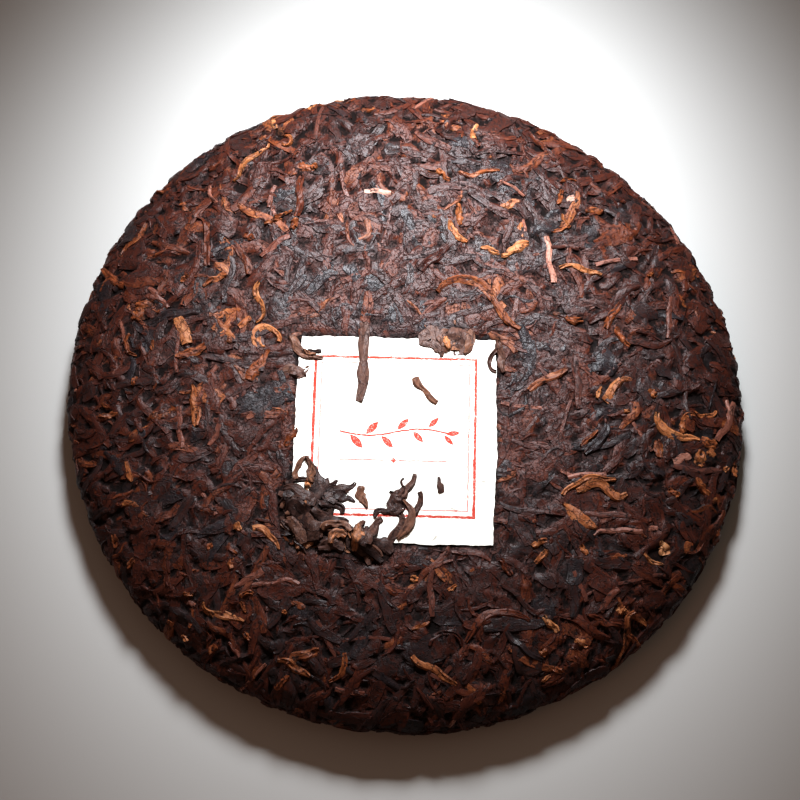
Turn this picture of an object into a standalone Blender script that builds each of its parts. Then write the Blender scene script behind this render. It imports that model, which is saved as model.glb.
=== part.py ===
"""A round cake of pressed dark tea, lying with its face up, and the paper ticket pressed into that face.

The cake is a turned core with the relief of pressed leaves, and the leaves and stems that stand out of it are
fused on. The ticket is a sheet draped over the face. The few leaves that lie across the ticket are pieces of
their own. The origin is the middle of the base, +Z is up, and the foot of the ticket points along -Y.
"""

import math
import random

import bmesh
import bpy
from mathutils import Vector

MM = 0.001

# Cake, in metres
CORE_RADIUS = 99.2 * MM
CORE_HEIGHT = 23.4 * MM
BELLY_HEIGHT = 8.6 * MM
FOOT_RADIUS = 86.0 * MM
DOME_POWER = 3.2
DOME_ROOT = 2.2
DIMPLE_RADIUS = 29.0 * MM
DIMPLE_FLOOR_RADIUS = 8.0 * MM
DIMPLE_DEPTH = 8.0 * MM

# How far the outline is out of round, where it bulges, and the share of the radius that stays round
OVAL = 1.4 * MM
OVAL_AT = math.radians(118)
LOBES = 0.4 * MM
ROUND_SHARE = 0.4

# Mesh of the core
TURNS = 70
FACE_RINGS = 15
FOOT_RINGS = 3
DIMPLE_RINGS = 4
MERIDIAN_STEPS = 400
MERGE = 0.01 * MM
CROWDED_RADIUS = 48.0 * MM
SMALLEST_CELL = 4.6 * MM

# Relief of the pressed leaves: smooth in the middle, loose at the rim
RELIEF_MIDDLE = 0.7 * MM
RELIEF_RIM = 1.4 * MM
RELIEF_DIMPLE = 0.4 * MM
LOOSE_FROM = 0.3 * CORE_RADIUS
JITTER = 1.8 * MM
CLEAR_OF_BASE = 1.0 * MM
LEAF_OFF_BASE = 0.4 * MM

# Paper ticket
TICKET_WIDTH = 56.2 * MM
TICKET_LENGTH = 62.5 * MM
TICKET_PAPER = 0.4 * MM
TICKET_MIDDLE = (-2.4 * MM, -18.2 * MM)
TICKET_TURN = math.radians(-1.5)
TICKET_BULGE = 0.9 * MM
TICKET_CELLS = (8, 9)
GAP = 0.35 * MM
TICKET_MARGIN = 3.0 * MM

# Leaves and stems
LEAF_CROWN = 1.9 * MM
LEAF_EDGE = 0.9 * MM
KEEL = 1.6 * MM
RIPPLE = 0.27 * MM
RIPPLES = 7.0
CROWN_SHARES = (0.75, 1.25)
MOST_LEAN = 0.4
TIP_WIDTH = 0.35
TIP_CUT = 0.08
STATION_SPACING = 4.5 * MM
SEED = 357
LOOSE_LEAVES = 92
LOOSE_REACH = 124.0 * MM
LEAF_LENGTHS = (9.0 * MM, 20.0 * MM)
LEAF_WIDTHS = (1.8 * MM, 3.6 * MM)
MOST_BOW = 0.25
CREASE = math.radians(14)

# A leaf across the ticket: its ring as shares of half the width and of the thickness
CROSSING_THICKNESS = 1.1 * MM
CROSSING_RING = ((-1.0, 0.05), (-0.9, 0.75), (0.1, 1.0), (0.95, 0.7), (1.0, 0.05), (0.0, 0.0))
CROSSING_STEP = 0.13 * MM
GOLDEN_ANGLE = math.pi * (3 - math.sqrt(5))

# The strands that catch the eye: points along each on the face in millimetres, then its width in millimetres
STRANDS = (
    (((-39.6, 77.7), (-47.6, 71.1), (-49.5, 64.6)), 2.2),
    (((-34.0, 71.5), (-25.5, 68.0)), 3.6),
    (((-30.2, 65.9), (-31.0, 57.4), (-31.7, 48.7)), 1.9),
    (((-11.6, 61.6), (-4.1, 59.1)), 2.2),
    (((-44.6, 39.3), (-32.8, 45.7)), 1.9),
    (((-59.4, 52.7), (-56.7, 44.6), (-57.3, 36.8)), 2.0),
    (((-88.2, 39.8), (-80.2, 33.6), (-70.2, 31.9)), 4.2),
    (((-67.4, 20.4), (-62.0, 11.4)), 3.8),
    (((-79.8, 25.2), (-71.2, 19.7)), 4.6),
    (((-42.9, 9.1), (-41.3, 15.8), (-36.8, 12.5)), 2.4),
    (((-76.8, 30.7), (-68.4, 23.5)), 1.6),
    (((-83.2, 44.5), (-77.6, 52.0), (-73.1, 59.8)), 2.2),
    (((-15.0, 46.7), (-17.3, 39.6), (-20.8, 32.3)), 2.2),
    (((17.9, 94.2), (9.8, 82.0)), 3.8),
    (((16.2, 57.1), (14.7, 50.1), (18.8, 44.0)), 2.6),
    (((20.8, 41.3), (28.8, 40.5), (37.5, 44.1)), 2.8),
    (((42.6, 46.7), (43.3, 38.2), (43.9, 29.2)), 2.0),
    (((46.5, 36.6), (52.1, 35.9), (58.9, 34.2)), 2.0),
    (((56.2, 44.0), (64.0, 49.0), (73.7, 55.5)), 7.5),
    (((7.1, 26.7), (12.2, 30.3), (16.6, 32.0), (23.6, 29.1), (28.2, 22.6), (33.3, 15.9)), 3.0),
    (((59.7, 15.2), (61.1, 21.4), (64.2, 24.9)), 2.4),
    (((64.4, 14.3), (67.0, 21.3), (72.3, 28.2)), 2.2),
    (((1.0, 26.0), (7.2, 33.9), (13.1, 41.9)), 2.4),
    (((77.4, 14.0), (79.8, 26.9)), 2.0),
    (((36.5, -2.3), (47.3, 3.3)), 2.4),
    (((83.8, -10.2), (91.2, -14.9), (87.2, -20.0), (90.8, -24.6)), 3.0),
    (((96.6, -3.3), (94.2, -9.1), (91.2, -14.9)), 1.9),
    (((77.2, -26.1), (90.2, -25.5)), 2.0),
    (((45.8, -35.4), (52.5, -30.2), (60.3, -29.9), (63.0, -34.8)), 3.2),
    (((46.5, -28.1), (58.9, -25.9)), 1.6),
    (((35.9, -34.2), (44.1, -37.5), (53.1, -44.0)), 3.4),
    (((54.7, -40.8), (67.8, -39.9)), 1.6),
    (((56.5, -46.6), (71.1, -44.5)), 1.5),
    (((90.3, -37.1), (87.4, -43.2), (82.8, -48.7)), 4.0),
    (((17.1, -76.7), (23.3, -69.2), (33.9, -69.8)), 2.6),
    (((38.7, -69.2), (42.6, -73.5)), 2.6),
    (((2.6, -80.7), (6.2, -84.2), (14.3, -88.2)), 2.6),
    (((-56.9, -66.4), (-54.3, -69.5), (-44.7, -71.2)), 2.3),
    (((-49.0, -62.4), (-39.5, -57.9)), 2.0),
    (((-34.0, -70.4), (-21.1, -68.6), (-8.3, -66.8)), 2.4),
    (((-34.4, -82.5), (-26.1, -79.9), (-16.9, -77.6)), 1.8),
    (((-16.9, -80.0), (-17.4, -84.7), (-22.9, -87.6)), 2.4),
    (((-42.6, -44.6), (-35.7, -50.5)), 2.4),
    (((-69.5, -24.4), (-59.7, -22.8), (-53.1, -12.7)), 1.6),
    (((-65.4, -9.1), (-64.4, -21.4)), 2.0),
)

# The pieces across the ticket: each is one or more leaves, fused where they meet
TICKET_LEAVES = {
    "ticket_strand": ((((-11.7, 20.0), (-11.9, 12.0), (-12.5, 5.0), (-11.2, -1.0), (-12.3, -7.2)), 2.9),),
    "ticket_twig": ((((2.7, 0.2), (5.3, -3.5), (9.6, -8.2)), 1.9),),
    "ticket_fragment": ((((9.5, -30.3), (10.6, -32.4), (11.2, -34.8)), 2.2),),
    "ticket_sprig": (
        (((-9.0, -49.5), (-4.6, -42.4), (1.0, -34.5), (2.2, -29.8)), 2.3),
        (((-3.4, -40.8), (2.6, -39.3), (6.3, -34.2)), 2.0),
        (((2.9, -39.0), (1.6, -43.4), (-3.2, -48.9)), 2.4),
    ),
    "ticket_corner_leaves": (
        (((-31.5, -25.0), (-22.5, -37.5), (-8.6, -46.5)), 4.4),
        (((-33.4, -36.0), (-25.0, -44.0), (-13.0, -51.6)), 4.8),
        (((-29.6, -22.4), (-29.6, -27.0), (-26.0, -32.5)), 3.4),
        (((-27.0, -36.0), (-18.6, -32.4), (-10.6, -34.9)), 4.2),
        (((-34.0, -32.0), (-26.0, -36.6), (-17.4, -39.6)), 4.8),
        (((-20.6, -51.2), (-19.4, -44.0), (-20.8, -35.6)), 5.0),
        (((-34.0, -45.0), (-27.0, -42.8), (-20.0, -46.6)), 5.0),
        (((-33.6, -50.4), (-27.5, -47.4), (-24.6, -40.0)), 4.6),
        (((-10.4, -53.0), (-12.4, -47.6), (-15.6, -42.0)), 4.6),
    ),
    "ticket_top_leaves": (
        (((3.6, 15.6), (8.2, 11.8), (13.6, 10.0)), 3.6),
        (((11.8, 11.2), (16.2, 9.4), (20.2, 12.6)), 4.2),
        (((6.4, 15.0), (13.0, 14.4), (20.6, 15.6)), 4.0),
    ),
    "ticket_side_leaf": ((((26.6, 12.6), (27.2, 7.6), (26.0, 1.6)), 2.4),),
    "ticket_corner_curl": ((((-33.0, 13.0), (-28.6, 8.9), (-23.2, 9.2)), 2.3),),
    "ticket_tab": ((((-33.6, 4.4), (-29.8, 3.4), (-27.2, 2.0)), 2.6),),
}


def smooth_step(low, high, value):
    """0 below low, 1 above high, and a smooth rise between them."""
    share = min(max((value - low) / (high - low), 0.0), 1.0)
    return share * share * (3 - 2 * share)


def dome_height(radius):
    """Height of the bare face over a plan radius."""
    fall = 1 - (min(radius, CORE_RADIUS) / CORE_RADIUS) ** DOME_POWER
    return BELLY_HEIGHT + (CORE_HEIGHT - BELLY_HEIGHT) * max(fall, 0.0) ** (1 / DOME_ROOT)


def dimple_height(radius):
    """Height of the hollow under the middle, where the knot of the cloth pressed in."""
    return DIMPLE_DEPTH * (1 - smooth_step(DIMPLE_FLOOR_RADIUS, DIMPLE_RADIUS, radius))


def face_and_foot(face_steps, foot_steps):
    """Points (radius, height) from the middle of the face over the belly to the foot."""
    points = []
    for step in range(face_steps + 1):
        radius = CORE_RADIUS * math.sin(math.pi / 2 * step / face_steps)
        points.append((radius, dome_height(radius)))
    for step in range(1, foot_steps + 1):
        angle = math.pi / 2 * step / foot_steps
        radius = FOOT_RADIUS + (CORE_RADIUS - FOOT_RADIUS) * math.cos(angle)
        points.append((radius, BELLY_HEIGHT * (1 - math.sin(angle))))
    return points


def base_and_dimple():
    """Points from inside the foot along the flat resting ring and up into the dimple."""
    points = [(DIMPLE_RADIUS, 0.0)]
    for step in range(1, DIMPLE_RINGS + 1):
        radius = DIMPLE_RADIUS * (1 - step / DIMPLE_RINGS)
        points.append((radius, dimple_height(radius)))
    return points


def measured_meridian():
    """The fine profile with its running length: (length, radius, height) for each point."""
    fine = face_and_foot(MERIDIAN_STEPS, MERIDIAN_STEPS // 4)
    length = 0.0
    rows = [(0.0, *fine[0])]
    for before, after in zip(fine, fine[1:]):
        length += math.dist(before, after)
        rows.append((length, *after))
    return rows


MERIDIAN = measured_meridian()


def meridian_at(length):
    """(radius, height, normal along the radius, normal upwards) at a length along the profile."""
    row = 1
    while row < len(MERIDIAN) - 1 and MERIDIAN[row][0] < length:
        row += 1
    start, end = MERIDIAN[row - 1], MERIDIAN[row]
    span = end[0] - start[0]
    share = min(max((length - start[0]) / span, 0.0), 1.0)
    radius = start[1] + (end[1] - start[1]) * share
    height = start[2] + (end[2] - start[2]) * share
    return radius, height, -(end[2] - start[2]) / span, (end[1] - start[1]) / span


def length_at_radius(radius):
    """Length along the face's profile at a plan radius."""
    row = 1
    while MERIDIAN[row][1] < radius and MERIDIAN[row + 1][1] > MERIDIAN[row][1]:
        row += 1
    start, end = MERIDIAN[row - 1], MERIDIAN[row]
    return start[0] + (end[0] - start[0]) * (radius - start[1]) / (end[1] - start[1])


def out_of_round(angle, radius):
    """How far the outline stands out of the circle; the middle stays round."""
    oval = OVAL * math.cos(2 * (angle - OVAL_AT)) + LOBES * math.cos(3 * angle)
    return oval * smooth_step(ROUND_SHARE * CORE_RADIUS, CORE_RADIUS, radius)


def on_core(place, lift=0.0):
    """The point in space at a place on the unrolled surface, raised along its normal."""
    angle = math.atan2(place[1], place[0])
    radius, height, outwards, upwards = meridian_at(math.hypot(*place))
    radius += out_of_round(angle, radius) + lift * outwards
    height = max(height + lift * upwards, LEAF_OFF_BASE)
    return Vector((radius * math.cos(angle), radius * math.sin(angle), height))


def unrolled(plan):
    """The place on the unrolled surface of a point on the face, seen from above."""
    angle = math.atan2(plan[1], plan[0])
    length = length_at_radius(math.hypot(*plan))
    return (length * math.cos(angle), length * math.sin(angle))


def ticket_place(plan):
    """A plan point in the ticket's own axes, from its middle."""
    x = plan[0] - TICKET_MIDDLE[0]
    y = plan[1] - TICKET_MIDDLE[1]
    cosine, sine = math.cos(TICKET_TURN), math.sin(TICKET_TURN)
    return (x * cosine + y * sine, y * cosine - x * sine)


def near_ticket(plan, margin):
    """1 on the ticket, 0 further than the margin outside its edge."""
    x, y = ticket_place(plan)
    outside = max(abs(x) - TICKET_WIDTH / 2, abs(y) - TICKET_LENGTH / 2)
    return 1 - smooth_step(margin / 3, margin, outside)


def new_object(name, mesh, home):
    """An object with this mesh, linked into a collection."""
    obj = bpy.data.objects.new(name, mesh)
    home.objects.link(obj)
    return obj


def evaluated_mesh(obj):
    """The object's mesh with its modifiers applied."""
    graph = bpy.context.evaluated_depsgraph_get()
    return bpy.data.meshes.new_from_object(obj.evaluated_get(graph))


def turned_core(home):
    """The bare cake: its profile turned about the axis by a Screw modifier."""
    profile = face_and_foot(FACE_RINGS, FOOT_RINGS) + base_and_dimple()
    mesh = bpy.data.meshes.new("cake_profile")
    edges = [(index, index + 1) for index in range(len(profile) - 1)]
    mesh.from_pydata([(radius, 0.0, height) for radius, height in profile], edges, [])
    outline = new_object("cake_profile", mesh, home)
    screw = outline.modifiers.new("turn", "SCREW")
    screw.axis = "Z"
    screw.steps = TURNS
    screw.render_steps = TURNS
    screw.use_merge_vertices = True
    screw.merge_threshold = MERGE
    core = new_object("core", evaluated_mesh(outline), home)
    bpy.data.objects.remove(outline)
    return core


def even_out(core):
    """Merges the points that crowd towards the axis, on the face and in the dimple."""
    shape = bmesh.new()
    shape.from_mesh(core.data)
    crowded = [vertex for vertex in shape.verts if vertex.co.xy.length < CROWDED_RADIUS]
    bmesh.ops.remove_doubles(shape, verts=crowded, dist=SMALLEST_CELL)
    shape.normal_update()
    shape.to_mesh(core.data)
    shape.free()


def press_relief(core, draw):
    """Moves the core's points in and out, and a little sideways, as the leaves pressed into it lie."""
    for vertex in core.data.vertices:
        place = vertex.co.copy()
        radius = math.hypot(place.x, place.y)
        angle = math.atan2(place.y, place.x)
        bump = draw.uniform(-1.0, 1.0)
        sideways = draw.uniform(-1.0, 1.0), draw.uniform(-1.0, 1.0)
        if radius < MERGE:
            continue
        stretch = 1 + out_of_round(angle, radius) / radius
        vertex.co.x *= stretch
        vertex.co.y *= stretch
        if place.z < CLEAR_OF_BASE:
            continue
        in_dimple = radius < DIMPLE_RADIUS and place.z < DIMPLE_DEPTH + CLEAR_OF_BASE
        if in_dimple:
            vertex.co.z += RELIEF_DIMPLE * bump
            continue
        looseness = smooth_step(LOOSE_FROM, CORE_RADIUS, radius)
        free = 1 - near_ticket(place.xy, 2 * TICKET_MARGIN)
        depth = (RELIEF_MIDDLE + (RELIEF_RIM - RELIEF_MIDDLE) * looseness) * free
        vertex.co += vertex.normal * depth * bump
        across = Vector((-math.sin(angle), math.cos(angle), 0.0))
        along = vertex.normal.cross(across)
        vertex.co += JITTER * free * looseness * (across * sideways[0] + along * sideways[1])
        vertex.co.z = max(vertex.co.z, LEAF_OFF_BASE)


def smooth_path(points, count):
    """Evenly spaced places along a smooth curve through the points."""
    ends = [points[0], *points, points[-1]]
    path = []
    for step in range(count):
        where = (len(points) - 1) * step / (count - 1)
        span = min(int(where), len(points) - 2)
        share = where - span
        a, b, c, d = (Vector(point) for point in ends[span : span + 4])
        bend = (c - a) * share + (2 * a - 5 * b + 4 * c - d) * share**2
        bend += (3 * (b - c) + d - a) * share**3
        path.append(b + bend / 2)
    return path


def stations_for(points):
    """How many sections a leaf of this length takes."""
    length = sum(math.dist(before, after) for before, after in zip(points, points[1:]))
    return max(3, round(length / STATION_SPACING) + 1)


def width_share(share):
    """The width along a leaf: narrow at both tips."""
    return TIP_WIDTH + (1 - TIP_WIDTH) * math.sin(math.pi * (TIP_CUT + (1 - 2 * TIP_CUT) * share))


def lofted(sections):
    """A closed mesh through rings of points, with a flat fan at each end."""
    shape = bmesh.new()
    rings = [[shape.verts.new(point) for point in section] for section in sections]
    sides = len(rings[0])
    for before, after in zip(rings, rings[1:]):
        for side in range(sides):
            following = (side + 1) % sides
            shape.faces.new((before[side], before[following], after[following]))
            shape.faces.new((before[side], after[following], after[side]))
    shape.faces.new(rings[0])
    shape.faces.new(rings[-1][::-1])
    bmesh.ops.recalc_face_normals(shape, faces=shape.faces[:])
    mesh = bpy.data.meshes.new("leaf")
    shape.to_mesh(mesh)
    shape.free()
    return mesh


def leaf_sections(path, width, outline):
    """The rings of a leaf along a path on the unrolled surface.

    outline gives, for a share along the leaf, the ring as (share of half the width, lift) pairs.
    """
    sections = []
    for index, place in enumerate(path):
        before, after = path[max(index - 1, 0)], path[min(index + 1, len(path) - 1)]
        heading = (after - before).normalized()
        across = Vector((-heading.y, heading.x))
        share = index / (len(path) - 1)
        half = width / 2 * width_share(share)
        ring = outline(share, place)
        sections.append([on_core(place + across * half * side, lift) for side, lift in ring])
    return sections


def fused_leaf(points, width, draw, home):
    """A leaf or stem that lies on the cake, with a keel that reaches into the core."""
    path = smooth_path(points, stations_for(points))
    crown = LEAF_CROWN * draw.uniform(*CROWN_SHARES)
    lean = draw.uniform(-MOST_LEAN, MOST_LEAN)
    wave = draw.uniform(0.0, 2 * math.pi)

    def outline(share, _place):
        ripple = RIPPLE * math.sin(wave + RIPPLES * share)
        tips = width_share(share)
        return (
            (-1.0, LEAF_EDGE * tips + ripple),
            (lean, crown * tips + ripple),
            (1.0, LEAF_EDGE * tips - ripple),
            (0.0, -KEEL),
        )

    return new_object("leaf", lofted(leaf_sections(path, width, outline)), home)


def leaf_across_ticket(points, width, raised, home):
    """A thin leaf lying over the ticket, and down beside it, clear of paper and cake."""
    path = smooth_path(points, stations_for(points))

    def outline(_share, place):
        bed = raised + GAP + near_ticket(place, TICKET_MARGIN) * (TICKET_PAPER + GAP)
        return [(side, bed + share_up * CROSSING_THICKNESS) for side, share_up in CROSSING_RING]

    return new_object("leaf", lofted(leaf_sections(path, width, outline)), home)


def largest_shell(mesh):
    """Keeps the one outer shell: loose scraps are dropped, and sealed hollows are filled."""
    shape = bmesh.new()
    shape.from_mesh(mesh)
    unseen = set(shape.faces)
    shells = []
    while unseen:
        front = [unseen.pop()]
        shell = []
        while front:
            face = front.pop()
            shell.append(face)
            plain = [edge for edge in face.edges if len(edge.link_faces) == 2]
            beside = {other for edge in plain for other in edge.link_faces} & unseen
            unseen -= beside
            front.extend(beside)
        shells.append(shell)
    shells.sort(key=len)
    for shell in shells[:-1]:
        bmesh.ops.delete(shape, geom=shell, context="FACES")
    shape.to_mesh(mesh)
    shape.free()


def joined(name, base, pieces, home):
    """One solid of the base and all pieces, by a single union on their collection."""
    union = base.modifiers.new("union", "BOOLEAN")
    union.operation = "UNION"
    union.operand_type = "COLLECTION"
    union.collection = pieces
    mesh = evaluated_mesh(base)
    largest_shell(mesh)
    for obj in [base, *pieces.objects]:
        bpy.data.objects.remove(obj)
    mesh.shade_smooth()
    mesh.set_sharp_from_angle(angle=CREASE)
    mesh.name = name
    return new_object(name, mesh, home)


def helper_collection(name):
    """A collection for pieces that are about to be joined."""
    home = bpy.data.collections.new(name)
    bpy.context.scene.collection.children.link(home)
    return home


def spread_leaves(draw):
    """Seeded leaves spread evenly over the face, the rim and the foot, clear of the ticket."""
    chosen = []
    for number in range(LOOSE_LEAVES):
        reach = LOOSE_REACH * math.sqrt((number + 0.5) / LOOSE_LEAVES)
        angle = number * GOLDEN_ANGLE
        heading = draw.uniform(0.0, math.pi)
        length = draw.uniform(*LEAF_LENGTHS)
        width = draw.uniform(*LEAF_WIDTHS)
        bow = draw.uniform(-MOST_BOW, MOST_BOW) * length
        middle = Vector((reach * math.cos(angle), reach * math.sin(angle)))
        along = Vector((math.cos(heading), math.sin(heading))) * length / 2
        side = Vector((-math.sin(heading), math.cos(heading))) * bow
        points = (middle - along, middle + side, middle + along)
        crosses = any(near_ticket(point, 3 * TICKET_MARGIN) > 0 for point in points)
        too_low = any(point.length > LOOSE_REACH for point in points)
        if not crosses and not too_low:
            chosen.append((points, width))
    return chosen


def make_cake(home):
    """The cake: relief on the turned core, then the leaves that stand out, fused on."""
    draw = random.Random(SEED)
    core = turned_core(home)
    even_out(core)
    press_relief(core, draw)
    pieces = helper_collection("cake_leaves")
    for points, width in STRANDS:
        places = [unrolled((x * MM, y * MM)) for x, y in points]
        fused_leaf(places, width * MM, draw, pieces)
    for points, width in spread_leaves(draw):
        fused_leaf(points, width, draw, pieces)
    return joined("tea_cake", core, pieces, home)


def make_ticket(home):
    """The paper ticket: a grid draped over the face and given its thickness."""
    shape = bmesh.new()
    bmesh.ops.create_grid(shape, x_segments=TICKET_CELLS[0], y_segments=TICKET_CELLS[1], size=0.5)
    cosine, sine = math.cos(TICKET_TURN), math.sin(TICKET_TURN)
    for vertex in shape.verts:
        bulge = TICKET_BULGE * 2 * vertex.co.x * math.cos(math.pi * vertex.co.y)
        x = vertex.co.x * TICKET_WIDTH + bulge
        y = vertex.co.y * TICKET_LENGTH
        plan = (
            TICKET_MIDDLE[0] + x * cosine - y * sine,
            TICKET_MIDDLE[1] + x * sine + y * cosine,
        )
        vertex.co = (*plan, dome_height(math.hypot(*plan)) + GAP)
    mesh = bpy.data.meshes.new("paper_ticket")
    shape.to_mesh(mesh)
    shape.free()
    ticket = new_object("paper_ticket", mesh, home)
    paper = ticket.modifiers.new("paper", "SOLIDIFY")
    paper.thickness = TICKET_PAPER
    paper.offset = 1.0
    return ticket


def make_ticket_leaves(home):
    """The leaves and stems that lie across the ticket, each piece a solid of its own."""
    made = []
    for name, leaves in TICKET_LEAVES.items():
        pieces = helper_collection(name + "_leaves")
        for number, (points, width) in enumerate(leaves):
            places = [unrolled((x * MM, y * MM)) for x, y in points]
            leaf_across_ticket(places, width * MM, number * CROSSING_STEP, pieces)
        base = pieces.objects[0]
        if len(leaves) > 1:
            pieces.objects.unlink(base)
            home.objects.link(base)
            made.append(joined(name, base, pieces, home))
        else:
            made.append(new_object(name, base.data, home))
            bpy.data.objects.remove(base)
        bpy.data.collections.remove(pieces)
    return made


def finish(obj, name, colour, roughness):
    """Gives the object its own plain material."""
    material = bpy.data.materials.new(name)
    material.use_nodes = True
    shader = material.node_tree.nodes["Principled BSDF"]
    shader.inputs["Base Color"].default_value = (*colour, 1.0)
    shader.inputs["Roughness"].default_value = roughness
    shader.inputs["Metallic"].default_value = 0.0
    obj.data.materials.clear()
    obj.data.materials.append(material)


TEA_COLOUR = (0.045, 0.022, 0.014)
STEM_COLOUR = (0.06, 0.03, 0.017)
PAPER_COLOUR = (0.86, 0.83, 0.78)

for old in list(bpy.data.objects):
    bpy.data.objects.remove(old)
parts = bpy.data.collections.new("pressed_tea_cake")
bpy.context.scene.collection.children.link(parts)

finish(make_cake(parts), "pressed_tea", TEA_COLOUR, 0.7)
finish(make_ticket(parts), "ticket_paper", PAPER_COLOUR, 0.9)
for piece in make_ticket_leaves(parts):
    finish(piece, piece.name + "_finish", STEM_COLOUR, 0.65)
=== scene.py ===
# %% [markdown]
# # A pressed tea cake
# The object is a round cake of dark tea leaves, steamed, pressed in a cloth bag and dried. It lies with its
# face up, and a square paper ticket is pressed into that face. Thousands of twisted leaves show, and no two
# are alike, so this lesson lets the computer do what the presser did. It drops leaves on a rolled-out map
# of the cake, lets each one drape over those below, presses the heap flat, and rolls the map back onto the
# turned form.
#
# First the packed solids are loaded. They are the frame: each piece made here takes its place from them.

# %% Load the solids
import math

import bpy
import numpy as np
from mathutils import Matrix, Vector


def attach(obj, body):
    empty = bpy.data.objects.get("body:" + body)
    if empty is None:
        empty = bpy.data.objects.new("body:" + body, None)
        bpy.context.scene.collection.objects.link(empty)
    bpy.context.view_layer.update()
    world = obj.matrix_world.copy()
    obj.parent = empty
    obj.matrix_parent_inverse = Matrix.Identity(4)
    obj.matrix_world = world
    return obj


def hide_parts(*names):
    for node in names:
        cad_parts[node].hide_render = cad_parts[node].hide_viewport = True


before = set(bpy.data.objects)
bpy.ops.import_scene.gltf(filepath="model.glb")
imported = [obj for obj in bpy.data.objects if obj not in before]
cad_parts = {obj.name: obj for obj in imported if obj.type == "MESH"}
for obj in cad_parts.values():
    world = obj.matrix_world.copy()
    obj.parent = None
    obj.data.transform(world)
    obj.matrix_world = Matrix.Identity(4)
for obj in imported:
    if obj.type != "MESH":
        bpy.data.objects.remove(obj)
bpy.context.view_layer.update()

print("solids:", sorted(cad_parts))

# %% [markdown]
# ## The view
# In the photo the cake leans back, and the camera looks at it from 22 degrees off the middle of its face.
# Here the cake lies down, so the camera stands at an elevation of 68 degrees. A constraint could aim it,
# but a turn worked out from the elevation alone keeps the picture level. A long lens from 0.7 m gives the
# same slight narrowing towards the far rim.

# %% Camera
ELEVATION = math.radians(68)
DISTANCE = 0.700
LENS = 107.3
AIM = Vector((-0.00106, -0.00136, 0.0114))

camera_data = bpy.data.cameras.new("camera")
camera_data.lens = LENS
camera_data.sensor_width = 36.0
camera = bpy.data.objects.new("camera", camera_data)
camera.location = AIM + DISTANCE * Vector((0.0, -math.cos(ELEVATION), math.sin(ELEVATION)))
camera.rotation_euler = (math.pi / 2 - ELEVATION, 0.0, 0.0)
bpy.context.scene.collection.objects.link(camera)
bpy.context.scene.camera = camera
print("camera at", [round(part, 3) for part in camera.location])

# %% [markdown]
# ## The light
# The face has a soft mauve sheen in its upper half and falls off to near black at the near rim. An even
# dome of light would show both halves alike. So the key light is a small soft panel beyond the far rim,
# placed where the leaves mirror it towards the camera, and its beam is narrow. A warm panel on the near
# side and a dim warm surround open the shadows a little, and a slightly steeper tone curve keeps them deep.

# %% Lights
LIT_SPOT = Vector((0.003, 0.050, 0.02))
TONE_CURVE = 0.87


def soft_panel(name, place, size, power, colour, spread=180):
    """A square light that faces the cake, with a beam this many degrees wide."""
    data = bpy.data.lights.new(name, "AREA")
    data.shape = "SQUARE"
    data.size = size
    data.energy = power
    data.color = colour
    data.spread = math.radians(spread)
    panel = bpy.data.objects.new(name, data)
    panel.location = place
    panel.rotation_euler = (LIT_SPOT - Vector(place)).to_track_quat("-Z", "Y").to_euler()
    bpy.context.scene.collection.objects.link(panel)


def surround(colour, strength):
    """Dim even light from all sides."""
    world = bpy.data.worlds.new("studio")
    world.use_nodes = True
    sockets = world.node_tree.nodes["Background"].inputs
    sockets["Color"].default_value = (*colour, 1.0)
    sockets["Strength"].default_value = strength
    bpy.context.scene.world = world


soft_panel("key_panel", (0.02, 0.25, 0.30), size=0.11, power=0.72, colour=(0.89, 0.95, 1.00), spread=46)
soft_panel("near_panel", (-0.4, -0.5, 0.9), size=0.5, power=0.90, colour=(1.0, 0.30, 0.10))
surround(colour=(1.0, 0.80, 0.64), strength=0.24)
bpy.context.scene.view_settings.view_transform = "Standard"
bpy.context.scene.view_settings.gamma = TONE_CURVE

# %% [markdown]
# The floor stands for the table. It is one large pale sheet, dull enough to mirror nothing, and a little
# grey, because a white one would throw too much light on the rim from below.

# %% Floor
FLOOR_SIZE = 4.0

bpy.ops.mesh.primitive_plane_add(size=FLOOR_SIZE)
floor = bpy.context.object
floor.name = "floor"
floor_finish = bpy.data.materials.new("pale_floor")
floor_finish.use_nodes = True
floor_sockets = floor_finish.node_tree.nodes["Principled BSDF"].inputs
floor_sockets["Base Color"].default_value = (0.33, 0.32, 0.31, 1.0)
floor_sockets["Roughness"].default_value = 0.9
floor_sockets["Specular IOR Level"].default_value = 0.0
floor.data.materials.append(floor_finish)
print("floor:", [round(side, 2) for side in floor.dimensions], "m")

# %% [markdown]
# ## The turned form
# The cake is a turned form: a domed face, a full belly, a rounded foot, a flat ring that it rests on, and a
# dimple where the knot of the cloth was. A Screw modifier would turn its outline into a surface, but here
# leaves have to find their way along it too. So the outline is measured once as a table of lengths, and
# each later step reads it by its distance from the middle of the face. The sizes are those of the solid, in
# millimetres.

# %% Profile of the cake
MM = 0.001
CORE_RADIUS = 99.2
CORE_HEIGHT = 23.4
BELLY_HEIGHT = 8.6
FOOT_RADIUS = 86.0
DOME_POWER = 3.2
DOME_ROOT = 2.2
DIMPLE_RADIUS = 29.0
DIMPLE_FLOOR_RADIUS = 8.0
DIMPLE_DEPTH = 8.0
OVAL = 1.4
OVAL_AT = math.radians(118)
LOBES = 0.4
ROUND_SHARE = 0.4
PROFILE_STEP = 0.1


def smooth_step(low, high, value):
    """0 below low, 1 above high, and a smooth rise between them."""
    share = np.clip((value - low) / (high - low), 0.0, 1.0)
    return share * share * (3 - 2 * share)


def dome_height(radius):
    """Height of the bare face over a plan radius."""
    fall = 1 - (np.minimum(radius, CORE_RADIUS) / CORE_RADIUS) ** DOME_POWER
    return BELLY_HEIGHT + (CORE_HEIGHT - BELLY_HEIGHT) * np.maximum(fall, 0.0) ** (1 / DOME_ROOT)


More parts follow.
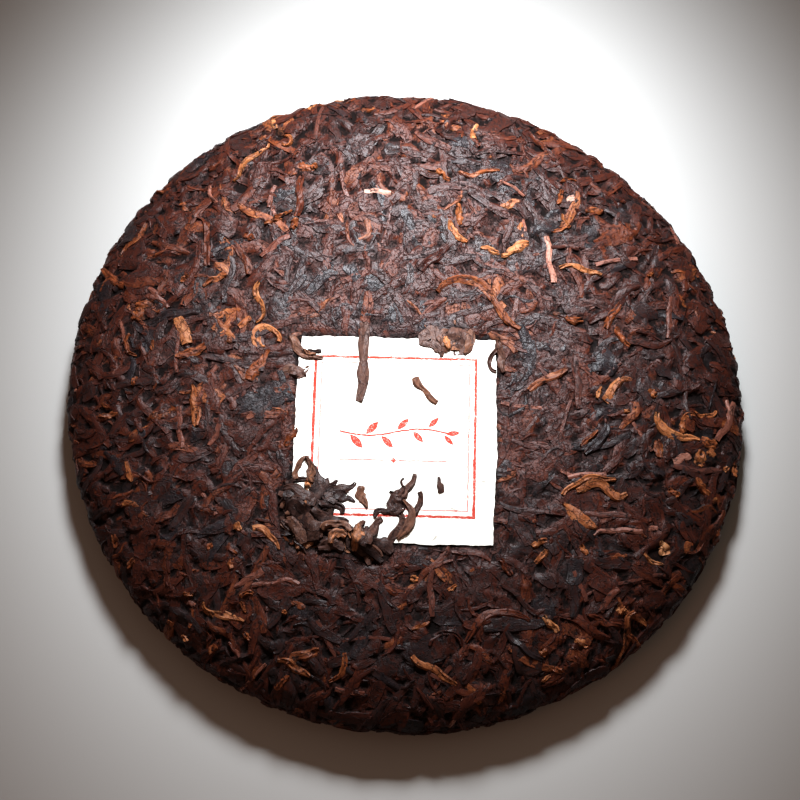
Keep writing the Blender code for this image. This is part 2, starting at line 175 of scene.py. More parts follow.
def dimple_height(radius):
    """Height of the hollow under the middle."""
    return DIMPLE_DEPTH * (1 - smooth_step(DIMPLE_FLOOR_RADIUS, DIMPLE_RADIUS, radius))


def turned_profile():
    """Length, radius, height and outward normal along the outline, at even steps."""
    quarter = np.linspace(0.0, math.pi / 2, 1200)
    face = CORE_RADIUS * np.sin(quarter)
    foot = FOOT_RADIUS + (CORE_RADIUS - FOOT_RADIUS) * np.cos(quarter)
    base = np.linspace(FOOT_RADIUS, 0.0, 1200)
    radius = np.concatenate((face, foot[1:], base[1:]))
    foot_height = BELLY_HEIGHT * (1 - np.sin(quarter))
    height = np.concatenate((dome_height(face), foot_height[1:], dimple_height(base[1:])))
    run = np.concatenate(([0.0], np.cumsum(np.hypot(np.diff(radius), np.diff(height)))))
    even = np.arange(0.0, run[-1], PROFILE_STEP)
    radius, height = np.interp(even, run, radius), np.interp(even, run, height)
    out, up = -np.gradient(height, even), np.gradient(radius, even)
    size = np.hypot(out, up)
    return even, radius, height, out / size, up / size


PROFILE = turned_profile()
WHOLE_LENGTH = PROFILE[0][-1]
BELLY_LENGTH = PROFILE[0][np.argmax(PROFILE[1])]
BASE_LENGTH = WHOLE_LENGTH - FOOT_RADIUS
print(f"outline: {BELLY_LENGTH:.1f} mm to the belly, {WHOLE_LENGTH:.1f} mm to the dimple")

# %% [markdown]
# ## Two flat maps
# Leaves are easy to pile on a flat map and hard to pile on a curved cake. So each side gets a map: its
# middle is the middle of the side, and distance from it runs along the outline. Rolled back, a map's far
# parts shrink sideways, because the rim curls in. A leaf there is made wider first by the same amount, and
# keeps its size.

# %% Maps of the face and the base
LOWEST = 0.03


class Side:
    """One side of the cake rolled out flat, in millimetres."""

    def __init__(self, faces_up, reach):
        self.faces_up = faces_up
        self.reach = reach

    def along(self, distance):
        """Length along the outline at a distance from the map's middle."""
        return distance if self.faces_up else WHOLE_LENGTH - distance

    def stretch(self, distance):
        """How much longer the map is there than the cake, across the outline."""
        radius = np.interp(self.along(distance), PROFILE[0], PROFILE[1])
        return np.maximum(distance, 1.0) / np.maximum(radius, 1.0)

    def place(self, x, y, lift):
        """Points in space over map points, raised along the surface's normal."""
        distance = np.hypot(x, y)
        angle = np.arctan2(y, x)
        radius, height, out, up = (
            np.interp(self.along(distance), PROFILE[0], column) for column in PROFILE[1:]
        )
        oval = OVAL * np.cos(2 * (angle - OVAL_AT)) + LOBES * np.cos(3 * angle)
        radius = radius + oval * smooth_step(ROUND_SHARE * CORE_RADIUS, CORE_RADIUS, radius) + lift * out
        height = np.maximum(height + lift * up, LOWEST)
        return np.stack((radius * np.cos(angle), radius * np.sin(angle), height), -1)

    def from_plan(self, points):
        """Map points of plan points, as (x, y) rows."""
        points = np.asarray(points, float)
        radius = np.hypot(points[:, 0], points[:, 1])
        top = PROFILE[0] <= BELLY_LENGTH
        length = np.interp(radius, PROFILE[1][top], PROFILE[0][top])
        return points * (length / np.maximum(radius, 1e-6))[:, None]


FACE = Side(True, BASE_LENGTH + 2.0)
BASE = Side(False, FOOT_RADIUS + 5.0)
print(f"maps reach {FACE.reach:.1f} mm over the face and rim, {BASE.reach:.1f} mm under it")

# %% [markdown]
# ## The bed
# Real leaves pile up by falling, but to let thousands of bodies fall in a simulation would take hours. A
# bed does the same work in seconds. It is a height map over one side. A leaf reads the bed below it, lies
# on it, and is then stamped into it, so that the next leaf lies on both. The bed also remembers the tone of
# whatever lies on top.

# %% Height map that leaves are stamped into
PIXEL = 0.36


class Bed:
    """The heights of a heap over a map, in millimetres."""

    def __init__(self, reach, draw):
        self.reach = reach
        self.count = int(2 * reach / PIXEL) + 3
        self.height = draw.normal(0.0, 0.1, (self.count, self.count))
        self.tone = np.full((self.count, self.count), 0.3)

    def cell(self, x, y):
        """Row and column of the pixel that holds each point."""
        column = ((x + self.reach) / PIXEL + 0.5).astype(int)
        row = ((y + self.reach) / PIXEL + 0.5).astype(int)
        return np.clip(row, 0, self.count - 1), np.clip(column, 0, self.count - 1)

    def read(self, x, y, values=None):
        """Values under the points, blended between pixels."""
        values = self.height if values is None else values
        column = np.clip((x + self.reach) / PIXEL, 0, self.count - 1.001)
        row = np.clip((y + self.reach) / PIXEL, 0, self.count - 1.001)
        c, r = column.astype(int), row.astype(int)
        across, down = column - c, row - r
        near = values[r, c] * (1 - across) + values[r, c + 1] * across
        far = values[r + 1, c] * (1 - across) + values[r + 1, c + 1] * across
        return near * (1 - down) + far * down

    def stamp(self, x, y, height, tone):
        """Raises the bed to the heights of the points."""
        row, column = self.cell(x.ravel(), y.ravel())
        height, tone = height.ravel(), tone.ravel()
        np.maximum.at(self.height, (row, column), height)
        on_top = height >= self.height[row, column] - 1e-9
        self.tone[row[on_top], column[on_top]] = tone[on_top]


def blurred(values, width):
    """Values averaged three times over a square of this width in millimetres."""
    half = max(1, int(width / PIXEL / 2))
    for _ in range(3):
        for axis in (0, 1):
            padded = np.pad(values, [(half + 1, half) if axis == a else (0, 0) for a in (0, 1)], "edge")
            total = np.cumsum(padded, axis)
            ahead = np.take(total, np.arange(2 * half + 1, total.shape[axis]), axis)
            behind = np.take(total, np.arange(total.shape[axis] - 2 * half - 1), axis)
            values = (ahead - behind) / (2 * half + 1)
    return values


print(f"a bed of the face has {Bed(FACE.reach, np.random.default_rng(0)).count} pixels a side")

# %% [markdown]
# ## Kinds of leaf
# Seen close, the face holds a few kinds of thing: twisted strands, which are most of it, thin threads, flat
# wrinkled flakes, broad leaf pieces, straight stems, pale curled tips and crumbs. Modelling each one by
# hand would make them all alike. So each kind is only described, by ranges for its sizes and by a
# cross-section, and a seeded draw makes every leaf a new one. The cross-section lists points from one edge
# to the other, as a share of half the width and of the thickness.

# %% What a leaf can be
class Kind:
    """One kind of leaf: its ranges in millimetres and its cross-section."""

    def __init__(self, length, width, thickness, stations, section, **habit):
        self.length = length
        self.width = width
        self.thickness = thickness
        self.stations = stations
        self.sides = np.array([side for side, _ in section])
        self.crown = np.array([crown for _, crown in section])
        self.bow = habit.get("bow", 0.12)
        self.sway = habit.get("sway", 0.05)
        self.ragged = habit.get("ragged", 0.15)
        self.twist = habit.get("twist", 0.0)
        self.crumple = habit.get("crumple", 0.0)
        self.follow = habit.get("follow", 0.3)
        self.stiffness = habit.get("stiffness", 2)
        self.taper = habit.get("taper", 0.6)


STRAND = Kind(
    (7.0, 19.0), (1.8, 3.7), (0.6, 0.95), 9,
    ((-1.0, -0.2), (-0.82, 0.8), (-0.3, 1.0), (0.3, 0.95), (0.84, 0.8), (1.0, -0.2)),
    twist=0.32, crumple=0.16, bow=0.12, sway=0.06, ragged=0.16, taper=0.28, follow=0.4,
)
THREAD = Kind(
    (5.0, 12.0), (0.8, 1.5), (0.5, 0.8), 7,
    ((-1.0, -0.1), (-0.6, 0.85), (0.0, 1.0), (0.62, 0.85), (1.0, -0.1)),
    twist=0.25, crumple=0.12, bow=0.16, sway=0.09, ragged=0.15, taper=0.45,
)
FLAKE = Kind(
    (4.5, 10.5), (2.4, 5.4), (0.3, 0.5), 7,
    ((-1.0, -0.3), (-0.9, 0.9), (-0.35, 1.0), (0.3, 1.0), (0.9, 0.9), (1.0, -0.3)),
    twist=0.4, crumple=0.36, follow=0.6, ragged=0.26, stiffness=2, taper=0.26,
)
BROAD = Kind(
    (8.0, 15.0), (5.0, 9.0), (0.3, 0.5), 9,
    ((-1.0, -0.3), (-0.92, 0.9), (-0.5, 1.0), (0.0, 0.9), (0.5, 1.0), (0.93, 0.9), (1.0, -0.3)),
    twist=0.5, crumple=0.4, follow=0.55, ragged=0.22, stiffness=3, taper=0.28, bow=0.1,
)
STEM = Kind(
    (8.0, 20.0), (1.0, 1.8), (0.7, 1.0), 6,
    ((-1.0, 0.0), (-0.68, 0.85), (0.0, 1.0), (0.68, 0.85), (1.0, 0.0)),
    bow=0.05, sway=0.02, ragged=0.08, follow=0.05, stiffness=8, taper=0.06,
)
TIP = Kind(
    (4.0, 11.0), (1.4, 2.8), (0.6, 0.9), 8,
    ((-1.0, -0.1), (-0.72, 0.85), (0.05, 1.0), (0.75, 0.8), (1.0, -0.1)),
    bow=0.2, sway=0.12, twist=0.25, crumple=0.12, taper=0.35, ragged=0.22,
)
CRUMB = Kind(
    (1.2, 3.4), (0.8, 1.8), (0.35, 0.7), 4,
    ((-1.0, -0.1), (-0.5, 0.9), (0.5, 1.0), (1.0, -0.1)),
    ragged=0.3, follow=0.3, crumple=0.4, stiffness=0, taper=0.3,
)
print("strand section has", len(STRAND.sides), "points and", STRAND.stations, "stations")

# %% [markdown]
# ## A batch of leaves
# Numpy shapes many leaves at once, which is a hundred times faster than one mesh after another. A batch is
# a table of grids: one row of points for each station along a leaf, and one point in it for each side of
# the section. It starts with a middle line for each leaf, which bows and sways as a dry leaf does.

# %% Middle lines
def between(draw, limits, count):
    """Seeded values between two limits."""
    return draw.uniform(limits[0], limits[1], count)


def middle_lines(kind, count, draw):
    """Seeded lines about the origin, as (leaf, station, xy)."""
    length = between(draw, kind.length, count) * between(draw, (0.75, 1.0), count)
    share = np.linspace(-0.5, 0.5, kind.stations)
    bow = draw.uniform(-kind.bow, kind.bow, count)[:, None]
    sway = draw.uniform(-kind.sway, kind.sway, count)[:, None]
    along = length[:, None] * share
    aside = length[:, None] * (bow * (1 - 4 * share**2) + sway * np.sin(2 * math.pi * share))
    heading = draw.uniform(0.0, 2 * math.pi, count)[:, None]
    x = along * np.cos(heading) - aside * np.sin(heading)
    y = along * np.sin(heading) + aside * np.cos(heading)
    return np.stack((x, y), -1)


def evened(values):
    """Random values along leaves, made smoother from station to station but no smaller."""
    ends = np.concatenate((values[:, :1], values, values[:, -1:]), 1)
    return (ends[:, :-2] + 2 * values + ends[:, 2:]) / 2.6


def weights(count, times=3):
    """A table that blends count values into a finer row."""
    place = np.linspace(0, count - 1, times * (count - 1) + 1)
    return np.maximum(0.0, 1 - np.abs(place[:, None] - np.arange(count)[None, :]))


print("a strand's fine grid is", weights(STRAND.stations).shape[0], "by", weights(len(STRAND.sides)).shape[0])

# %% [markdown]
# Then the rows are laid across that line, narrower towards the ends and with ragged edges, and the section,
# a twist and some crumpling give their heights. A leaf is draped by reading the bed at all of its points. A
# stiff kind evens out what it reads from station to station, and a limp kind follows the bed from edge to
# edge.

# %% Leaves that can be draped
LEAST_EDGE, MOST_EDGE = 0.35, 1.8
COVERED = 0.07


class Leaves:
    """A batch of leaves of one kind, ready to be draped over a bed."""

    def __init__(self, kind, lines, width, thickness, tone, draw):
        self.kind = kind
        self.tone = tone
        self.number = draw.uniform(0.0, 1.0, len(lines))
        self.cut_out(lines, width, draw)
        self.wrinkle(thickness, draw)

    def cut_out(self, lines, width, draw):
        """Lays rows of points across the middle lines, and keeps their places along and across the leaf."""
        count, stations, _ = lines.shape
        heading = np.gradient(lines, axis=1)
        heading /= np.maximum(np.linalg.norm(heading, axis=2, keepdims=True), 1e-9)
        across = np.stack((-heading[..., 1], heading[..., 0]), -1)
        taper = np.sin(math.pi * (0.05 + 0.9 * np.linspace(0.0, 1.0, stations))) ** self.kind.taper
        edges = 1 + self.kind.ragged * evened(draw.normal(0.0, 1.0, (count, stations, 2)))
        edges = np.clip(edges, LEAST_EDGE, MOST_EDGE)
        half = 0.5 * width.reshape(count, -1, 1) * taper[None, :, None] * edges
        self.grain_y = np.where(self.kind.sides < 0, half[..., :1], half[..., 1:]) * self.kind.sides
        self.offset = lines[:, :, None, :] + across[:, :, None, :] * self.grain_y[..., None]
        steps = np.linalg.norm(np.diff(lines, axis=1, prepend=lines[:, :1]), axis=2)
        self.grain_x = np.broadcast_to(np.cumsum(steps, 1)[..., None], self.grain_y.shape)

    def wrinkle(self, thickness, draw):
        """Gives the rows their heights: the section, turned and crumpled."""
        kind, count = self.kind, len(thickness)
        share = np.linspace(0.0, 1.0, kind.stations)
        turn = draw.uniform(0.0, 2 * math.pi, count)[:, None, None]
        rate = draw.uniform(0.5, 1.6, count)[:, None, None] * np.sign(draw.normal(size=count))[:, None, None]
        wave = np.sin(turn + 2 * math.pi * rate * share[None, :, None] + 1.9 * kind.sides)
        fold = draw.uniform(-0.5, 0.5, count)[:, None, None] * kind.crumple * np.abs(kind.sides)
        rough = 0.5 * kind.crumple * evened(draw.normal(0.0, 1.0, (count, kind.stations, len(kind.sides))))
        inner = (np.abs(kind.sides) < 0.99) * 1.0
        shape = kind.crown + (kind.twist * wave + rough + fold) * inner
        self.profile = thickness[:, None, None] * (shape - 0.2)

    def set_down(self, side, middle):
        """Puts the leaves on a map, made wider where the map is longer than the cake."""
        outwards = middle / np.maximum(np.linalg.norm(middle, axis=1, keepdims=True), 1e-6)
        stretch = side.stretch(np.linalg.norm(middle, axis=1)) - 1
        tangent = np.stack((-outwards[:, 1], outwards[:, 0]), -1)
        sideways = np.einsum("lnsk,lk->lns", self.offset, tangent) * stretch[:, None, None]
        spot = middle[:, None, None, :] + self.offset + sideways[..., None] * tangent[:, None, None, :]
        self.x, self.y = spot[..., 0], spot[..., 1]

    def drape(self, bed, sink=0.0):
        """Lets the leaves rest on the bed, or sink into it a little, then stamps them into it."""
        under = bed.read(self.x, self.y) - sink
        level = 0.5 * under.mean(2) + 0.5 * under.max(2)
        for _ in range(self.kind.stiffness):
            ends = np.concatenate((level[:, :1], level, level[:, -1:]), 1)
            level = (ends[:, :-2] + 2 * level + ends[:, 2:]) / 4
        level = level[..., None]
        self.height = level + self.kind.follow * (under - level) + self.profile
        x, y, height = self.fine()
        bed.stamp(x, y, height, np.broadcast_to(self.tone[:, None, None], x.shape))

    def fine(self):
        """The grids at three times as many points each way."""
        stations, sides = self.height.shape[1:]
        down, over = weights(stations), weights(sides)
        return [np.einsum("fs,lsk,gk->lfg", down, grid, over) for grid in (self.x, self.y, self.height)]

    def shown(self, bed):
        """The share of each leaf that nothing covers."""
        x, y, height = self.fine()
        return (height > bed.read(x, y) - COVERED).mean((1, 2))


print("edges of a leaf vary from", LEAST_EDGE, "to", MOST_EDGE, "of its width")

# %% [markdown]
# ## Piling up
# The heap is made in rounds. Each round spreads a few hundred leaves of every kind evenly over the cake,
# with a little disorder, and lets them lie on what is there. Leaves scattered purely by chance would leave
# bare spots and lumps. Stems, pale tips and crumbs join in late, so that more of them show. A leaf's tone
# is its kind's usual one, with some chance, and with slow patches that are a little darker or paler than
# the rest.

# %% Dropping leaves in rounds
PATCH = 7.0
PATCH_SHARE = 0.08
TONE_SPREAD = 0.19
PALE_SHARE = 0.06
PALER = 0.35
GOLDEN_TURN = 3 - math.sqrt(5)


def even_places(side, count, draw):
    """Map points spread evenly over the cake's real surface."""
    distance = np.arange(0.0, side.reach, 0.2)
    ring = np.interp(side.along(distance), PROFILE[0], PROFILE[1])
    area = np.cumsum(ring)
    share = (np.arange(count) + draw.uniform(0.0, 1.0, count)) / count
    reach = np.interp(share, area / area[-1], distance)
    angle = np.arange(count) * math.pi * GOLDEN_TURN + draw.uniform(0.0, 2 * math.pi)
    return np.stack((reach * np.cos(angle), reach * np.sin(angle)), -1)


def heap(side, rounds, recipe, draw):
    """Piles leaves on one side. The recipe gives (name, kind, leaves a round, first round, usual tone)."""
    bed = Bed(side.reach + 6.0, draw)
    patches = blurred(draw.normal(0.0, 1.0, bed.height.shape), PATCH)
    patches /= patches.std()
    laid = []
    for turn in range(rounds):
        for name, kind, count, first, usual in recipe:
            if turn < first:
                continue
            lines = middle_lines(kind, count, draw)
            width = between(draw, kind.width, count)
            thickness = between(draw, kind.thickness, count)
            middle = even_places(side, count, draw)
            tone = usual + draw.normal(0.0, TONE_SPREAD, count) + PALER * (draw.random(count) < PALE_SHARE)
            tone += PATCH_SHARE * bed.read(middle[:, 0], middle[:, 1], patches)
            batch = Leaves(kind, lines, width, thickness, np.clip(tone, 0.0, 1.0), draw)
            batch.set_down(side, middle)
            batch.drape(bed)
            laid.append((name, batch))
    return bed, laid


print(f"one leaf in {1 / PALE_SHARE:.0f} is paler than its kind")

# %% [markdown]
# The face takes 24 rounds, because a thin heap would let the core show as a smooth floor between the
# leaves. The base, which nobody looks at for long, takes half as many.

# %% Both heaps
FACE_ROUNDS = 24
FACE_RECIPE = (
    ("strands", STRAND, 132, 0, 0.42),
    ("flakes", BROAD, 14, 0, 0.36),
    ("flakes", FLAKE, 88, 0, 0.38),
    ("threads", THREAD, 72, 4, 0.44),
    ("stems", STEM, 5, 8, 0.26),
    ("golden_tips", TIP, 6, 8, 0.15),
    ("crumbs", CRUMB, 240, 8, 0.42),
)
BASE_ROUNDS = 12
BASE_RECIPE = (
    ("base_strands", STRAND, 110, 0, 0.42),
    ("base_flakes", FLAKE, 90, 0, 0.38),
    ("base_stems", STEM, 16, 6, 0.30),
)
draw = np.random.default_rng(357)
face_bed, face_leaves = heap(FACE, FACE_ROUNDS, FACE_RECIPE, draw)
base_bed, base_leaves = heap(BASE, BASE_ROUNDS, BASE_RECIPE, draw)
print(f"face heap {face_bed.height.mean():.2f} mm, base heap {base_bed.height.mean():.2f} mm")

# %% [markdown]
# ## Pressing
# A heap is lumpy, and a cake isn't. Scaling the whole heap down would flatten the leaves as well. So only
# the slow hills are taken out of it, and what is left is squeezed: strongly in the middle, where the real
# face is smooth, and less towards the loose rim. What still stands high is flattened like leaves under a
# board. Under the ticket everything sinks a little and lies smoother, and so does the ring that the cake
# rests on, which was pressed on a flat stone.
#
# Each side has its own pressing. A pair of numbers there is the value in the smooth middle and what the
# loose rim adds to it: the share of its height that a leaf keeps, the height at which the board stops it
# and the share it keeps above that, the depth at which a gap is filled, and how proud the whole lies, in
# millimetres.

# %% The ticket's place
TICKET_WIDTH = 56.2
TICKET_LENGTH = 62.5
TICKET_MIDDLE = (-2.4, -18.2)
TICKET_TURN = math.radians(-1.5)


def ticket_axes(x, y):
    """Plan points in the ticket's own axes, from its middle."""
    x, y = x - TICKET_MIDDLE[0], y - TICKET_MIDDLE[1]
    cosine, sine = math.cos(TICKET_TURN), math.sin(TICKET_TURN)
    return x * cosine + y * sine, y * cosine - x * sine


def under_ticket(x, y):
    """1 under the ticket and just beside it, 0 further out."""
    across, down = ticket_axes(x, y)
    outside = np.maximum(np.abs(across) - TICKET_WIDTH / 2, np.abs(down) - TICKET_LENGTH / 2)
    return 1 - smooth_step(0.9, 2.6, outside)


print(f"ticket: {TICKET_WIDTH} by {TICKET_LENGTH} mm, about {TICKET_MIDDLE}")

# %% The press
HILLS = 9.0
UNDER_TICKET = 0.32
TICKET_SQUEEZE, TICKET_SINK = 0.6, 0.35
STONE_CLEAR, STONE_SQUEEZE, STONE_SINK, STONE_STOP = (0.2, 2.4), 0.3, 0.24, 0.7
GAP_KEPT = 0.4
FACE_PRESSING = {
    "loose": (25.0, 100.0), "keeps": (0.45, 0.42), "board": (0.0, 0.34), "above": (0.25, 0.3),
    "filled": (-0.20, -0.45), "proud": (0.45, 0.05),
}
BASE_PRESSING = {
    "loose": (60.0, 90.0), "keeps": (0.6, 0.2), "board": (0.0, 0.2), "above": (0.25, 0.3),
    "filled": (-0.3, -0.4), "proud": (-0.1, 0.3),
}


class Press:
    """Turns heights in a heap into lifts above the bare cake."""

    def __init__(self, side, bed, pressing):
        self.side = side
        self.bed = bed
        self.pressing = pressing
        self.hills = blurred(bed.height, HILLS)
        self.spread = float((bed.height - self.hills).std())

    def on_stone(self, distance):
        """1 where the bare cake lies on the table, 0 where it has risen from it."""
        return 1 - smooth_step(*STONE_CLEAR, np.interp(self.side.along(distance), PROFILE[0], PROFILE[2]))

    def lift(self, x, y, height):
        """Lift of points at these heights in the heap."""
        distance = np.hypot(x, y)
        loose = smooth_step(*self.pressing["loose"], distance)
        keeps, board, above, filled, proud = (
            self.pressing[name][0] + self.pressing[name][1] * loose
            for name in ("keeps", "board", "above", "filled", "proud")
        )
        if self.side.faces_up:
            sunk = under_ticket(x, y)
            keeps, proud = keeps * (1 - TICKET_SQUEEZE * sunk), proud - TICKET_SINK * sunk
        flat = self.on_stone(distance)
        above = above * (1 - STONE_STOP * flat)
        keeps, board = keeps * (1 - STONE_SQUEEZE * flat), board * (1 - flat)
        proud = proud * (1 - flat) - STONE_SINK * flat
        over = (height - self.bed.read(x, y, self.hills)) * keeps
        over = np.where(over < filled, filled + GAP_KEPT * (over - filled), over)
        over = np.where(over > board, board + above * (over - board), over) + proud
        if self.side.faces_up:
            over = np.minimum(over, UNDER_TICKET + 6.0 * (1 - sunk))
        return over


face_press = Press(FACE, face_bed, FACE_PRESSING)
base_press = Press(BASE, base_bed, BASE_PRESSING)
print(f"heap roughness: face {face_press.spread:.2f} mm, base {base_press.spread:.2f} mm")

# %% [markdown]
# ## From grids to meshes
# A curve with a bevel would give each leaf the same round section all along. Here each kept leaf becomes a
# closed tube from its own rows: the section over the top, and a keel below that sinks into the cake. Leaves
# that are all but buried are left out, since nothing of them shows. Every point also carries what its
# finish needs: the leaf's tone, its place along and across the leaf, how near the edge it is, and how deep
# it lies.

# %% Meshes and pieces
def closed_tubes(count, stations, ring):
    """Corner numbers of the four-sided faces of many tubes with closed ends."""
    point = np.arange(count * stations * ring).reshape(count, stations, ring)
    beside = np.roll(point, -1, 2)
    walls = np.stack((point[:, :-1], point[:, 1:], beside[:, 1:], beside[:, :-1]), -1).reshape(-1, 4)
    caps = []
    for low in range(ring // 2 - 1):
        high = ring - 1 - low
        corners = (low, low + 1, high - 1, high)
        caps.append(point[:, 0][:, corners])
        caps.append(point[:, -1][:, corners[::-1]])
    return np.concatenate([walls, *(cap.reshape(-1, 4) for cap in caps)])


def mesh_from(name, points, faces, **values):
    """A mesh in metres from millimetre points, with an attribute for each row of values."""
    mesh = bpy.data.meshes.new(name)
    mesh.from_pydata(points * MM, [], faces)
    for title, rows in values.items():
        kind = "FLOAT_VECTOR" if rows.ndim == 2 else "FLOAT"
        layer = mesh.attributes.new(title, kind, "POINT")
        layer.data.foreach_set("vector" if rows.ndim == 2 else "value", rows.astype(np.float32).ravel())
    mesh.update()
    return mesh


def new_piece(name, mesh, nodes=()):
    """An object that rides on the cake and stands for these solids."""
    piece = bpy.data.objects.new(name, mesh)
    bpy.context.scene.collection.objects.link(piece)
    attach(piece, "root")
    if nodes:
        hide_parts(*nodes)
    return piece


print("a strand's tube has", len(closed_tubes(1, STRAND.stations, len(STRAND.sides) + 2)), "faces")

# %% Leaf meshes
KEEL = 0.35
CREASE = math.radians(34)
NUMBER_SPREAD = 60


def tube_parts(batch, side, bed, lift, kept, keel):
    """Points, faces and values of the kept leaves of a batch, whose depth is read from a bed's level."""
    x, y, lift = batch.x[kept], batch.y[kept], lift[kept]
    count, stations, sides = x.shape
    middle = slice((sides - 1) // 2, sides // 2 + 1)
    spare = 2 - sides % 2

    def closed(values, keel_values):
        """Values over the top of each leaf, with those of its keel once or twice, to make them even."""
        return np.concatenate((values,) + (keel_values[..., None],) * spare, 2)

    x, y = closed(x, x[:, :, middle].mean(2)), closed(y, y[:, :, middle].mean(2))
    lift = closed(lift, lift.min(2) - keel)
    along = closed(batch.grain_x[kept], batch.grain_x[kept][:, :, 0])
    aside = closed(batch.grain_y[kept], np.zeros((count, stations)))
    number = np.broadcast_to(batch.number[kept][:, None, None] * NUMBER_SPREAD, along.shape)
    tone = np.broadcast_to(batch.tone[kept][:, None, None], along.shape)
    edge = np.broadcast_to(np.concatenate((np.abs(batch.kind.sides), np.ones(spare))), along.shape)
    depth = lift - bed.read(x, y, bed.level)
    faces = closed_tubes(count, stations, sides + spare)
    if side.faces_up:
        faces = faces[:, ::-1]
    grain = np.stack((along, aside, number), -1)
    values = {
        "tone": tone.ravel(), "grain": grain.reshape(-1, 3), "depth": depth.ravel(), "edge": edge.ravel(),
    }
    return side.place(x, y, lift).reshape(-1, 3), faces, values


def leaf_piece(name, batches, side, bed, nodes=()):
    """One piece of many leaves. Each batch comes with its lifts, the leaves to keep and its keel."""
    made = [tube_parts(batch, side, bed, lift, kept, keel) for batch, lift, kept, keel in batches]
    starts = np.cumsum([0] + [len(points) for points, _, _ in made])
    points = np.concatenate([points for points, _, _ in made])
    faces = np.concatenate([faces + start for (_, faces, _), start in zip(made, starts)])
    values = {title: np.concatenate([rows[title] for _, _, rows in made]) for title in made[0][2]}
    mesh = mesh_from(name, points, faces, **values)
    mesh.shade_smooth()
    mesh.set_sharp_from_angle(angle=CREASE)
    leaves = sum(int(kept.sum()) for _, _, kept, _ in batches)
    print(f"{name}: {leaves} leaves, {2 * len(mesh.polygons)} triangles")
    return new_piece(name, mesh, nodes)


print(f"leaves reach {KEEL} mm into the cake")

# %% [markdown]
# Now the heaps go through the press. Leaves that show less than a seventh of themselves are dropped here.

# %% Pressed leaves
LEAST_SHOWN = 0.14


def pressed_batches(laid, press):
    """The batches of a pressed heap by name, with their lifts and the leaves that show."""
    batches = {}
    for name, batch in laid:
        kept = batch.shown(press.bed) > LEAST_SHOWN
        if kept.any():
            lift = press.lift(batch.x, batch.y, batch.height)
            batches.setdefault(name, []).append((batch, lift, kept, KEEL))
    return batches


face_batches = pressed_batches(face_leaves, face_press)
base_batches = pressed_batches(base_leaves, base_press)
print("batches:", sum(len(rows) for rows in (face_batches | base_batches).values()))

# %% [markdown]
# ## The pressed sides as beds
# The pressed heights are kept as beds of their own. The ticket and some single leaves are laid on them
# later, and their local mean tells each point how deep it lies between its neighbours, which sets how much
# shade is painted into the cracks.

# %% Beds of the pressed sides
NEIGHBOURS = 3.2


def pressed_bed(side, press):
    """A bed whose heights are the lifts of the pressed heap, and its pixels' places."""
    top = Bed(press.bed.reach, draw)
    line = np.arange(top.count) * PIXEL - top.reach
    x, y = np.meshgrid(line, line)
    top.height = press.lift(x, y, press.bed.height)
    top.tone = press.bed.tone.copy()
    return top, x, y


def find_level(bed):
    """Gives a bed the mean height round each of its pixels."""
    bed.level = blurred(bed.height, NEIGHBOURS)


face_top, bed_x, bed_y = pressed_bed(FACE, face_press)
base_top, _, _ = pressed_bed(BASE, base_press)
find_level(face_top)
find_level(base_top)
print(f"roughness of the pressed face: {(face_top.height - face_top.level).std():.2f} mm")

# %% [markdown]
# ## The core
# What shows between the leaves is more of the same, deeper down. A smooth ball there would look like
# plastic. So the core is one closed surface whose relief is the stamped bed itself, a little lower than the
# leaves. It is made of two square grids bent round to discs, one over the face and one under it, which
# share their outer points at the belly. A grid has no crowded middle, as a turned surface would have.

# %% A round grid
def disc_grid(cells):
    """A square grid bent round to a disc of radius 1, as (x, y, faces, outer points)."""
    line = np.linspace(-1.0, 1.0, cells + 1)
    u, v = np.meshgrid(line, line)
    wide = np.abs(u) > np.abs(v)
    safe_u, safe_v = np.where(u == 0, 1.0, u), np.where(v == 0, 1.0, v)
    angle = np.where(wide, math.pi / 4 * v / safe_u, math.pi / 2 - math.pi / 4 * u / safe_v)
    radius = np.where(wide, u, v)
    point = np.arange((cells + 1) ** 2).reshape(cells + 1, cells + 1)
    faces = np.stack((point[:-1, :-1], point[:-1, 1:], point[1:, 1:], point[1:, :-1]), -1).reshape(-1, 4)
    rim = np.zeros_like(point, bool)
    rim[[0, -1]] = rim[:, [0, -1]] = True
    return (radius * np.cos(angle)).ravel(), (radius * np.sin(angle)).ravel(), faces, rim.ravel()


print("a round grid of 4 cells a side has", int(disc_grid(4)[3].sum()), "outer points")

# %% The core's relief
CORE_CELLS = 222
CORE_SINK = 0.12
CORE_EDGE = 0.4
SEAM = 4.0


def core_lift(x, y):
    """Lift, tone and depth of the relief by outline length and angle, from the face's bed or the base's."""
    distance, angle = np.hypot(x, y), np.arctan2(y, x)
    under = WHOLE_LENGTH - distance
    base_x, base_y = under * np.cos(angle), under * np.sin(angle)
    share = smooth_step(BASE_LENGTH - SEAM, BASE_LENGTH, distance)
    rows = []
    for name in ("height", "tone", "level"):
        on_face = face_top.read(x, y, getattr(face_top, name))
        on_base = base_top.read(base_x, base_y, getattr(base_top, name))
        rows.append(on_face * (1 - share) + on_base * share)
    height, tones, level = rows
    return height - CORE_SINK, tones, height - CORE_SINK - level


def core_grids():
    """Places by outline length and angle, and faces, of a grid over the face and one under it."""
    x, y, faces, rim = disc_grid(CORE_CELLS)
    reach = np.maximum(np.hypot(x, y), 1e-9)
    under_reach = WHOLE_LENGTH - reach * (WHOLE_LENGTH - BELLY_LENGTH)
    inside = np.flatnonzero(~rim)
    number = np.arange(len(x))
    number[inside] = len(x) + np.arange(len(inside))
    all_x = np.concatenate((x * BELLY_LENGTH, (x / reach * under_reach)[inside]))
    all_y = np.concatenate((y * BELLY_LENGTH, (y / reach * under_reach)[inside]))
    return all_x, all_y, np.concatenate((faces, number[faces][:, ::-1]))


